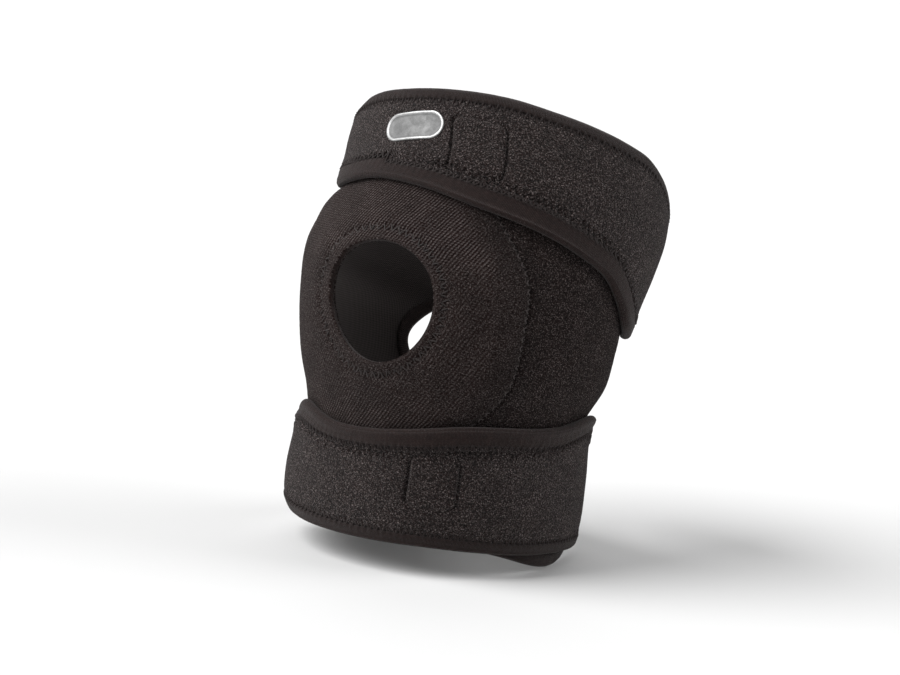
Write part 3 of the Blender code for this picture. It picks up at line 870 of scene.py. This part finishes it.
def body_outer(angle, along):
    """The height of the body's outer face."""
    u, v = flat_place(angle, along)
    between = fade((along - smoothly(BEND_FROM, angle / DEG)) / 14) * fade(
        (smoothly(BEND_TO, angle / DEG) - along) / 14
    )
    height = BODY_OUT - 0.25 + 0.55 * between
    beside = smoothly(BEND_TO, angle / DEG) - along
    height = height + (0.2 + 1.1 * tip_side(angle)) * hump(beside, 4, 4.5) * (beside > 0)
    height = height + (0.03 + 0.09 * between) * ripple(u, v, 17, 11)
    height = height + 0.035 * ripple(u, v, 2.1, 12, 20)
    apart, turn = opening_distance(angle, along)
    hem = ring_hem(turn)
    height = height - 0.35 * hump(apart, hem + 0.8, 1.6) + 0.30 * hump(apart, 12, 5)
    dent = spike_dent(turn / TAU * RING_STITCHES, apart, hem, RING_SPIKE, 1.0, 0.55)
    return height - seam_groove(angle, along) - dent


def body_heights(angle, along):
    return np.full(np.shape(angle), BODY_IN), body_outer(angle, along)


def strap_edges(strap, angle):
    return strap_edge(strap["low"], angle, 1), strap_edge(strap["top"], angle, -1)


def rounded_box(x, y, half_x, half_y, corner):
    """Distance outside a rounded rectangle, negative inside."""
    qx, qy = np.abs(x) - half_x + corner, np.abs(y) - half_y + corner
    return np.hypot(np.maximum(qx, 0), np.maximum(qy, 0)) + np.minimum(np.maximum(qx, qy), 0) - corner


def strap_outer(strap):
    """The height of a strap's outer face, as a function of places."""
    hook = strap["hook"]
    hook_around = around(*hook[:2])
    edges = strap_lengths(strap)

    def height(angle, along):
        u, v = flat_place(angle, along)
        low, top = strap_edges(strap, angle)
        crown = STRAP_OUT - (1.15 + 1.7 * tip_side(angle)) * strap_hug(strap, angle, along)
        crown = crown + 0.10 * ripple(u, v, 19, 21) + 0.05 * ripple(u, v, 1.7, 22, 24)
        y = along - hook[1]
        x = (angle - hook[0]) * hook_around - strap["lean"] * y
        apart = rounded_box(x, y, hook[2], hook[3], PATCH_CORNER)
        sideways = fade((np.abs(x) - hook[2] + 4) / 4)
        groove = (0.35 + 1.25 * sideways) * hump(apart, 0, 0.62)
        raised = 0.35 * (1 - fade((apart + 0.6) / 1.4))
        crown = crown - groove + raised
        for (low_or_top, hem), sign, sunk in zip(edges, (1, -1), strap["sunk"]):
            at = np.interp(angle, low_or_top[0], low_or_top[1])
            inset = (along - low) if sign > 0 else (top - along)
            crown = crown - spike_dent(at, inset, hem, SPIKE, low_or_top[2], 0.80 - 1.6 * sunk)
            crown = crown - 0.30 * hump(inset, hem + 0.2, 0.5)
        return crown

    return height


SPIKE, STITCH = 2.3, 2.75


def strap_lengths(strap):
    """For the low and the top edge: ((angles, lengths along the edge, pitch), hem distance)."""
    made = []
    angle = np.linspace(TIP, ROOT_END, 800)
    for edge, hem in zip(strap_edges(strap, angle), (strap["low_tape"], strap["top_tape"])):
        length = Edge.lengths(angle, edge)
        stitches = int(length[-1] / STITCH)
        made.append(((angle, length, length[-1] / stitches), hem))
    return made


def strap_hug(strap, angle, along):
    """0 in the middle of a strap, 1 at its edges and its tip, which lie closer to the leg."""
    low, top = strap_edges(strap, angle)
    share = np.clip((along - low) / np.maximum(top - low, 1), 0, 1)
    from_tip = (angle - TIP) * AROUND
    return 1 - (1 - (2 * share - 1) ** 6) * (1 - np.clip(1 - from_tip / 8, 0, 1) ** 2)


def tip_side(angle):
    """0 over the front, rising to 1 near a strap's free tip, where it is pulled tight."""
    return fade((-angle / DEG - 28) / 30)


def strap_inner(strap, angle, along):
    return STRAP_IN - STRAP_DROP * (1 + 1.6 * tip_side(angle)) * strap_hug(strap, angle, along)


# ---------------------------------------------------------------- the body


SEAM_GAP = 0.1 / AROUND
BODY_TAPE, BODY_SPIKE = 5.0, 2.2
LOCKSTITCH, THREAD = 2.4, 0.2


def shares(count, tight=0.0):
    """Even steps from 0 to 1, closer together at both ends when tight is above 0."""
    t = np.linspace(0, 1, count)
    return t - tight * np.sin(TAU * t) / TAU


def on_knee(found, *replaced, slot="edge_tape"):
    """Bakes a piece that crosses the knee into place and hides the CAD parts it replaces; its knee weights
    are worked out but not kept.
    """
    piece, angle, along = found
    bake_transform(piece)
    knee_weight(angle, along)
    return finished(piece, replaced)


def on_strap(found, strap, *replaced, slot="edge_tape"):
    """Bakes a piece that runs from a strap's sewn root to its free flap into place and hides the CAD parts
    it replaces; its hinge and hinge weights are worked out but not kept.
    """
    piece, angle, along = found
    hinge = on_leg(HINGE, 55 if strap is UPPER else -55, STRAP_OUT) * METRES
    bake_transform(piece)
    hinge_weight(angle, along)
    return finished(piece, replaced)


def riding(found, body, *replaced, slot="edge_tape"):
    """Fixes a piece to one body."""
    piece = found[0]
    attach(piece, body)
    return finished(piece, replaced)


def finished(piece, replaced):
    if replaced:
        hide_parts(*replaced)
    return piece


def cloth_area(points, ring=False):
    """The area of a grid of points."""
    points = closed(points, ring)
    across, back = points[1:, 1:] - points[:-1, :-1], points[1:, :-1] - points[:-1, 1:]
    return np.linalg.norm(np.cross(across, back), axis=-1).sum() / 2


def cut_cloth(angle, along, height, going, ring=False):
    """Works out the size a piece of cloth stretched round the leg was cut to: its surface laid flat, less
    its stretch round the leg. The result is not kept."""
    u, v = flat_place(angle, along)
    worn_area = cloth_area(on_leg(angle, along, height), ring)
    flat_area = cloth_area(np.stack([u, v, np.zeros_like(u)], -1), ring)
    width = np.ptp(u) * worn_area / flat_area / CLOTH_STRETCH
    np.ptp(v) * METRES


def panel_outline(count):
    """The front panel's outline, anticlockwise from its lower outer corner."""
    outer, inner = (np.stack(seam_line(side, shares(count), -side * SEAM_GAP)) for side in (1, -1))
    bottom = np.linspace(inner[0, 0], outer[0, 0], count // 3)
    top = np.linspace(outer[0, -1], inner[0, -1], count // 3)
    ends = [np.stack([angle, body_row(angle, share)])[:, :-1] for angle, share in ((top, 1), (bottom, 0))]
    return np.concatenate([outer[:, :-1], ends[0], inner[:, :0:-1], ends[1]], 1)


def front_panel():
    """Ribbed knit panel, its columns running in from the outline to the opening."""
    angle, along = panel_outline(210)
    turn, _ = opening_turn(angle, along)
    edge_angle, edge_along = opening_place(turn, 1.0)
    t = (1 - shares(86, 0.0)) ** 1.25
    grid_angle = edge_angle[:, None] + (angle - edge_angle)[:, None] * t
    grid_along = edge_along[:, None] + (along - edge_along)[:, None] * t
    outer = body_outer(grid_angle, grid_along)
    inner = np.full(grid_angle.shape, BODY_IN)
    found = shell("front_panel_knit", grid_angle, grid_along, inner, outer, ("rib", "lining"), ring=True)
    piece = on_knee(found, "front_panel", slot="knit_face")
    cut_cloth(grid_angle, grid_along, BODY_MIDDLE, opening_tape(), ring=True)


def wing(which, side):
    """Loop-pile side panel from the seam to the hollow behind the knee."""
    share, across = shares(210, 0.3)[None, :], shares(170, 0.5)[:, None]
    seam = seam_line(side, share, side * SEAM_GAP)[0]
    angle = seam + (side * wing_end(up_body(share)) - seam) * across
    along = body_row(angle, share)
    if side < 0:
        angle, along = angle[::-1], along[::-1]
    outer = body_outer(angle, along) + 0.04 * ripple(*flat_place(angle, along), 1.5, 31, 24)
    inner = np.full(angle.shape, BODY_IN)
    found = shell(f"{which}_wing_pile", angle, along, inner, outer, ("wing", "lining"))
    piece = on_knee(found, f"{which}_wing", slot="loop_pile")
    cut_cloth(angle, along, BODY_MIDDLE, rear_tape(which, side))


def rear_tape(which, side):
    """Folded tape on a wing's rear edge, with its overlock stitches."""
    share = np.linspace(0.045, 0.955, 500)[::side]
    angle = side * wing_end(up_body(share))
    edge = Edge(angle, body_row(angle, share))
    tape = folded_tape(f"{which}_rear_tape", edge, BODY_TAPE, body_heights)
    tape = on_knee(tape, f"{which}_wing_binding")
    run = overlock(edge, BODY_TAPE, BODY_SPIKE, STITCH, body_outer, rng_seed=8)
    return [tape, on_knee(threads(f"{which}_rear_tape_stitches", [run]))]


def opening_tape():
    """Knit tape rolled over the opening's edge, with its ring of zigzag stitches."""
    turn = -np.linspace(0, TAU, 721)[:-1]
    edge = Edge(*opening_place(turn, 1.0), spacing=0.45, ring=True)
    pitch = edge.total / RING_STITCHES
    hem = ring_hem(opening_turn(edge.angle, edge.along)[0])
    tape = folded_tape("opening_tape", edge, hem, body_heights, "rib", RING_TAPE, 0.10, pitch)
    tape = on_knee(tape, "opening_binding")
    ring = overlock(edge, hem, RING_SPIKE, pitch, body_outer, 0.26, 0.0, tape=RING_TAPE)
    return [tape, on_knee(threads("opening_stitches", [ring], "ring_thread"))]


SEAM_PITCH = 3.6


def seam_stitches(which, side):
    """Flatlock zigzag over a side seam. The thread dips under the cloth, so that only dots of it show."""
    edge = Edge(*seam_line(side, np.linspace(0.0, 1.0, 500)))
    at = np.arange(4.0, edge.total - 4.0, SEAM_PITCH / 12)
    turn = TAU * at / SEAM_PITCH
    angle, along = edge.place(at, 0.8 * np.sin(turn))
    height = body_outer(angle, along) - 0.25 + 0.42 * np.sin(turn) + 0.22 * np.sin(2 * turn + 0.8)
    runs = [(angle, along, height, 0.26, False)]
    on_knee(threads(f"{which}_seam_stitches", runs, "seam_thread", 5))


def seam_tape(which, side):
    """Flat tape over a seam inside, with two rows of stitches."""
    name, share = f"{which}_inside_tape", np.linspace(0.06, 0.94, 160)
    across = np.linspace(-1, 1, 13)[:, None]
    angle, along = seam_line(side, share[None, :], across * 4.6 * DEG)
    u, v = flat_place(angle, along)
    inner = SEAM_TAPE_IN + 0.18 * across**6 + 0.04 * ripple(u, v, 6, 41)
    outer = np.full(angle.shape, SEAM_TAPE_OUT + 0.3)
    found = shell(name, angle, along, inner, outer, ("tape", "tape"))
    on_knee(found, f"{which}_seam_tape")
    edge = Edge(*seam_line(side, share))
    at = np.arange(1.0, edge.total - 1.0, 0.35)
    height = SEAM_TAPE_IN - 0.02 - 0.22 * np.sin(TAU * at / 2.6)
    runs = [(*edge.place(at, inset), height, THREAD, False) for inset in (-3.9, 3.9)]
    on_knee(threads(name + "_stitches", runs, "thread", 5))


def patella_pad():
    """Foam ring sewn inside round the opening, rounded at both rims."""
    turn = np.linspace(0, TAU, 241)[:-1][:, None]
    t = np.linspace(1, 0, 21)[None, :]
    angle, along = opening_place(turn, 1.36 + (1.78 - 1.36) * t)
    u, v = flat_place(angle, along)
    swell = np.sqrt(np.clip(1 - (2 * t - 1) ** 4, 0, 1)) + 0 * turn
    inner = PAD_OUT + (PAD_IN - PAD_OUT) * swell - 0.1 * ripple(u, v, 9, 51)
    outer = np.full(angle.shape, PAD_OUT + 0.4)
    found = shell("patella_foam_ring", angle, along, inner, outer, ("foam", "foam"), ring=True)
    piece = on_knee(found, "patella_pad", slot="foam")


def body_edges():
    """Folded tape on the body's bottom and top edges, each with its overlock stitches."""
    end = WING_END - 0.3 * DEG
    full = np.linspace(-end, end, 900)
    for name, node, body, share in (
        ("bottom_edge_tape", "bottom_binding", "calf_cuff", 0.0),
        ("top_edge_tape", "top_binding", "thigh_cuff", 1.0),
    ):
        angle = full if share == 0 else full[::-1]
        edge = Edge(angle, body_row(angle, share))
        riding(folded_tape(name, edge, BODY_TAPE, body_heights), body, node)
        run = overlock(edge, BODY_TAPE, BODY_SPIKE, STITCH, body_outer, rng_seed=7)
        riding(threads(name + "_stitches", [run]), body)


# ---------------------------------------------------------------- the straps


LOOP_LARGER = 18, 2  # how much wider and taller half a loop tape is than half its hook square
HOOK_HEM, LOOP_HEM = 1.2, 1.4
HOOK_MARGIN, HOOK_PITCH, HOOK_SIDES = 2.4, (1.05, 1.3), 6
# (height above the tape's face, radius, lean) up a hook
HOOK_RINGS = ((0.05, 0.20, 0.0), (-0.14, 0.17, 0.1), (-0.24, 0.09, 0.3))


def patch(name, strap, wider, taller, inner, outer, look):
    """A rectangle of tape with rounded corners, as a shell between two heights."""
    angle, along, half_wide, half_high = strap["hook"]
    x = shares(70, 0.6)[:, None] * 2 - 1
    y = shares(60, 0.6)[None, :] * 2 - 1
    wide, high = half_wide + wider, half_high + taller
    past = np.clip((np.abs(x) * wide - wide + PATCH_CORNER) / PATCH_CORNER, 0, 1)
    high = high - PATCH_CORNER * (1 - np.sqrt(1 - past**2))
    x, y = x * wide + strap["lean"] * y * high, y * high
    inner, outer = np.full(y.shape, inner), np.full(y.shape, outer)
    return shell(name, angle + x / around(angle, along), along + y, inner, outer, (look, look))


def rectangle_stitches(strap, wider, taller, height, hem):
    """A ring of lockstitches inside a rectangle of tape, a hem's width from its edge."""
    angle, along, wide, high = strap["hook"]
    return ring_stitches(angle, along, wide + wider - hem, high + taller - hem, height, strap["lean"])


def ring_stitches(angle, along, wide, high, height, lean=0.0):
    """A run of lockstitches round a rectangle with rounded corners."""
    turn = np.linspace(0, TAU, 400, endpoint=False)
    power = 2 / 7
    x = wide * np.sign(np.cos(turn)) * np.abs(np.cos(turn)) ** power
    y = high * np.sign(np.sin(turn)) * np.abs(np.sin(turn)) ** power
    edge = Edge(angle + (x + lean * y) / around(angle, along), along + y, 0.35, ring=True)
    count = round(edge.total / LOCKSTITCH)
    arch = np.sin(TAU * edge.length / edge.total * count)
    return edge.angle, edge.along, height + 0.2 * arch, THREAD, True


def up_strap(near, far):
    """Angles from a strap's tip to its sewn root, closer together round the tip."""
    tip = TIP + TIP_TURN * np.linspace(0, 1, near)[:-1] ** 1.5
    return np.concatenate([tip, np.linspace(TIP + TIP_TURN, ROOT_END, far)])


def strap_face(which, strap):
    """A strap from its free tip to its sewn root: pile face and jersey back, with all that is sewn to it.

    The grid is finer beside the hook square, where the stitches sink in."""
    height = strap_outer(strap)
    angle = up_strap(28, 440)
    at, _, half_wide, half_high = strap["hook"]
    lean = abs(strap["lean"]) * half_high
    for side in (-1, 1):
        reach = np.arange(-lean - 1.5, lean + 1.5, 0.3)
        angle = np.append(angle, at + (side * half_wide + reach) / around(at, 0))
    angle = np.unique(angle)
    low, top = strap_edges(strap, angle)
    grid_angle = np.repeat(angle[:, None], 96, 1)
    grid_along = low[:, None] + (top - low)[:, None] * shares(96, 0.25)
    outer = height(grid_angle, grid_along)
    inner = strap_inner(strap, grid_angle, grid_along)
    found = shell(f"{which}_strap_pile", grid_angle, grid_along, inner, outer, ("pile", "lining"))
    piece = on_strap(found, strap, f"{which}_strap", f"{which}_strap_root", slot="loop_pile")
    going = strap_tape(which, strap, height)
    cut_cloth(grid_angle, grid_along, (STRAP_IN + STRAP_OUT) / 2, going)
    strap_fastening(which, strap)


def strap_tape(which, strap, height):
    """Folded tape round a strap's edges and tip, with its overlock stitches."""
    dense = up_strap(60, 900)
    low, top = strap_edges(strap, dense)
    middle = np.linspace(top[0], low[0], 40)[1:-1]
    path_angle = np.concatenate([dense[::-1], np.full(len(middle), TIP), dense])
    path_along = np.concatenate([top[::-1], middle, low])
    edge = Edge(path_angle, path_along, 0.55, smooth=6)
    lower_half = fade((edge.length - edge.length[np.argmin(edge.angle)]) / 30 + 0.5)
    reach = strap["top_tape"] + (strap["low_tape"] - strap["top_tape"]) * lower_half

    def heights(a, v):
        return strap_inner(strap, a, v), height(a, v)

    tape = folded_tape(f"{which}_strap_edge_tape", edge, reach, heights, ridge=strap["ridge"])
    tape = on_strap(tape, strap, f"{which}_strap_binding")
    low_sunk, top_sunk = strap["sunk"]
    lift = 0.10 - top_sunk - (low_sunk - top_sunk) * lower_half
    run = overlock(edge, reach, SPIKE, STITCH, height, lift=lift, rng_seed=9)
    return [tape, on_strap(threads(f"{which}_strap_overlock", [run]), strap)]


def strap_fastening(which, strap):
    """The hook square under a strap and the loop tape on the body that it presses on."""
    found = patch(f"{which}_hook_square", strap, 0, 0, HOOK_IN, HOOK_OUT, "hook")
    riding(found, strap["flap"], f"{which}_hook_patch", slot="hook_tape")
    riding(hooks(f"{which}_hooks", strap), strap["flap"], slot="hook_tape")
    ring = rectangle_stitches(strap, 0, 0, HOOK_IN, HOOK_HEM)
    riding(threads(f"{which}_hook_stitches", [ring], "thread", 5), strap["flap"], slot="hook_tape")
    found = patch(f"{which}_loop_tape", strap, *LOOP_LARGER, LOOP_IN, LOOP_OUT, "pile")
    riding(found, strap["cuff"], f"{which}_loop_patch", slot="loop_pile")
    ring = rectangle_stitches(strap, *LOOP_LARGER, LOOP_OUT, LOOP_HEM)
    riding(threads(f"{which}_loop_stitches", [ring], "thread", 5), strap["cuff"], slot="loop_pile")


def hooks(name, strap):
    """Rows of small stubs on a hook square's face, towards the leg."""
    angle, along, wide, high = strap["hook"]
    scale = around(angle, along)
    halves = (half - HOOK_MARGIN for half in (wide, high))
    x, y = np.meshgrid(*(np.arange(-half, half + 0.1, pitch) for half, pitch in zip(halves, HOOK_PITCH)))
    x = x + 0.5 * (np.arange(x.shape[0])[:, None] % 2) + strap["lean"] * y
    centre_angle, centre_along = angle + x.ravel() / scale, along + y.ravel()
    turn = np.arange(HOOK_SIDES) * TAU / HOOK_SIDES
    points, uv = [], []
    for lift, radius, shift in HOOK_RINGS:
        a = centre_angle[:, None] + (np.cos(turn) * radius + shift) / scale
        v = centre_along[:, None] + np.sin(turn) * radius
        points.append(on_leg(a, v, HOOK_IN + lift))
        uv.append(np.stack([a * AROUND, v], -1))
    points, uv = np.stack(points, 1), np.stack(uv, 1)
    size = len(HOOK_RINGS), HOOK_SIDES
    start = np.arange(len(centre_angle)) * size[0] * size[1]
    quads = (tube_quads(*size)[None] + start[:, None, None]).reshape(-1, 4)[:, ::-1]
    root, tip = end_caps(*size)
    caps = [tip + k for k in start] + [root + k for k in start]
    return (make_mesh(name, points, quads, uv, ("hook",), caps=caps),)


def rear_elastic(which, strap):
    """Woven elastic behind the leg, with box stitches where it is sewn down."""
    low, top = strap["elastic"]
    angle = np.linspace(ROOT_END - 6 * DEG, ELASTIC_END, 330)[:, None]
    along = np.linspace(low, top, 73)[None, :]
    grid_angle, grid_along = np.broadcast_arrays(angle, along)
    u, v = flat_place(grid_angle, grid_along)
    share = (grid_along - low) / (top - low)
    ribs = 0.13 * np.cos(TAU * share * 18) - 0.25 * (2 * share - 1) ** 10
    ribs = ribs + 0.12 * ripple(u, v, 22, 61)
    under = fade((grid_angle - (ELASTIC_END - 14 * DEG)) / (10 * DEG))
    sewn = 1 - fade((grid_angle - ROOT_END + 2 * DEG) / (7 * DEG))
    outer = ELASTIC_OUT + ribs - 0.6 * under - 0.75 * sewn
    inner = ELASTIC_IN + 0.6 * ribs - 0.45 * under
    found = shell(f"{which}_rear_elastic_web", grid_angle, grid_along, inner, outer, ("elastic", "elastic"))
    piece = riding(found, strap["cuff"], f"{which}_rear_elastic", slot="elastic_web")
    middle, half = (low + top) / 2, (top - low) / 2
    box_angle, box_half = ELASTIC_END - 6.5 * DEG, 5.0
    top_height = ELASTIC_OUT - 0.45
    runs = [ring_stitches(box_angle, middle, box_half, half - 1.5, top_height)]
    for sign in (-1, 1):
        t = np.linspace(-1, 1, 60)
        cross = box_angle + t * (box_half - 0.4) / AROUND, middle + sign * t * (half - 2.2)
        runs.append((*cross, top_height + 0.05 + 0.2 * np.sin(TAU * t * 6), THREAD, False))
    stitches = threads(f"{which}_elastic_stitches", runs, "thread", 5)
    stitches = riding(stitches, strap["cuff"], slot="elastic_web")
    worn_area = cloth_area(on_leg(grid_angle, grid_along, (ELASTIC_IN + ELASTIC_OUT) / 2))
    length = worn_area / (top - low) / ELASTIC_STRETCH
    length * METRES
    (top - low) * METRES


def badge():
    """A plain oblong plate with a raised rim, bonded on the upper strap."""
    angle, along, half_wide, half_high = BADGE
    scale = around(angle, along)
    base = strap_outer(UPPER)
    rings = (
        (1.0, -0.30), (1.0, 0.30), (0.985, 0.48), (0.96, 0.58), (0.90, 0.60), (0.85, 0.54), (0.82, 0.40),
        (0.80, 0.30), (0.6, 0.32), (0.4, 0.33), (0.2, 0.34), (0.05, 0.34),
    )
    sides, tilt = 160, 6 * DEG
    turn = np.linspace(0, TAU, sides, endpoint=False)
    straight = half_wide - half_high
    points, uv = [], []
    level = base(np.array([angle]), np.array([along]))[0]
    for share, lift in rings:
        radius = half_high * max(share, BADGE_FACE)
        shrink = min(share / BADGE_FACE, 1)
        x = straight * np.clip(np.cos(turn) * 6, -1, 1) + radius * np.cos(turn)
        x, y = x * shrink, radius * np.sin(turn) * shrink
        x, y = x * math.cos(tilt) - y * math.sin(tilt), x * math.sin(tilt) + y * math.cos(tilt)
        points.append(on_leg(angle + x / scale, along + y, level + lift))
        uv.append(np.stack([x, y], -1))
    count = len(rings)
    face_looks = np.repeat(np.array([1] * 7 + [0] * (count - 8)), sides)
    quads, caps = tube_quads(count, sides), end_caps(count, sides)[::-1]
    made = make_mesh("badge_plate", points, quads, uv, ("silver", "silver_rim"), face_looks, caps)
    riding((made,), "upper_flap", "badge", slot="badge_silver")


# ---------------------------------------------------------------- stage, light and camera


FLOOR_SIZE, FLOOR_GREY = 40.0, 0.64


def floor(level_z):
    mesh = bpy.data.meshes.new("floor")
    corners = ((-1, -1), (1, -1), (1, 1), (-1, 1))
    mesh.from_pydata([(x * FLOOR_SIZE, y * FLOOR_SIZE, level_z) for x, y in corners], [], [(0, 1, 2, 3)])
    pale = bpy.data.materials.new("pale_floor")
    pale.use_nodes = True
    shader = pale.node_tree.nodes["Principled BSDF"]
    shader.inputs["Base Color"].default_value = (FLOOR_GREY, FLOOR_GREY, FLOOR_GREY, 1)
    shader.inputs["Roughness"].default_value = 0.9
    mesh.materials.append(pale)
    made = added("floor", mesh)


def towards(azimuth, elevation):
    """The direction to an azimuth and elevation, in radians."""
    flat = math.cos(elevation)
    return Vector((math.sin(azimuth) * flat, -math.cos(azimuth) * flat, math.sin(elevation)))


def soft_sun(name, azimuth, elevation, strength, spread):
    """A broad light from far off, at degrees round from the front towards the outer side and degrees up."""
    data = bpy.data.lights.new(name, "SUN")
    data.energy, data.angle = strength, spread * DEG
    made = added(name, data)
    made.rotation_euler = towards(azimuth * DEG, elevation * DEG).to_track_quat("Z", "Y").to_euler()


CAMERA_AZIMUTH, CAMERA_ELEVATION, CAMERA_ROLL = 26 * DEG, 10 * DEG, 5 * DEG
CAMERA_LENS, CAMERA_SENSOR = 120.0, 36.0
VIEW_WIDTH = 0.360
KNEE_IN_VIEW = (0.0032, 0.0026)  # the knee's centre from the middle of the view, right and up


def camera():
    back = towards(CAMERA_AZIMUTH, CAMERA_ELEVATION)
    turn = back.to_track_quat("Z", "Y").to_matrix() @ Matrix.Rotation(CAMERA_ROLL, 3, "Z")
    right, up = turn.col[0], turn.col[1]
    data = bpy.data.cameras.new("camera")
    data.lens, data.sensor_width = CAMERA_LENS, CAMERA_SENSOR
    made = added("camera", data)
    distance = VIEW_WIDTH * CAMERA_LENS / CAMERA_SENSOR
    target = -right * KNEE_IN_VIEW[0] - up * KNEE_IN_VIEW[1]
    made.matrix_world = Matrix.Translation(target + back * distance) @ turn.to_4x4()
    bpy.context.scene.camera = made


def studio():
    lowest = CAD_BOX[0].z - FLOOR_GAP * METRES
    floor(lowest)
    soft_sun("key", -52, 44, 4.3, 50)
    soft_sun("rim", 122, 28, 1.6, 40)
    soft_sun("back", 205, 40, 0.8, 60)
    world = bpy.data.worlds.new("studio")
    world.use_nodes = True
    background = world.node_tree.nodes["Background"]
    background.inputs["Color"].default_value = (1, 1, 1, 1)
    background.inputs["Strength"].default_value = 0.30
    bpy.context.scene.world = world
    bpy.context.scene.view_settings.view_transform = "Standard"


camera()
studio()
front_panel()
for make in (wing, seam_stitches, seam_tape):
    make("outer", 1)
    make("inner", -1)
patella_pad()
body_edges()
for make in (strap_face, rear_elastic):
    make("upper", UPPER)
    make("lower", LOWER)
badge()
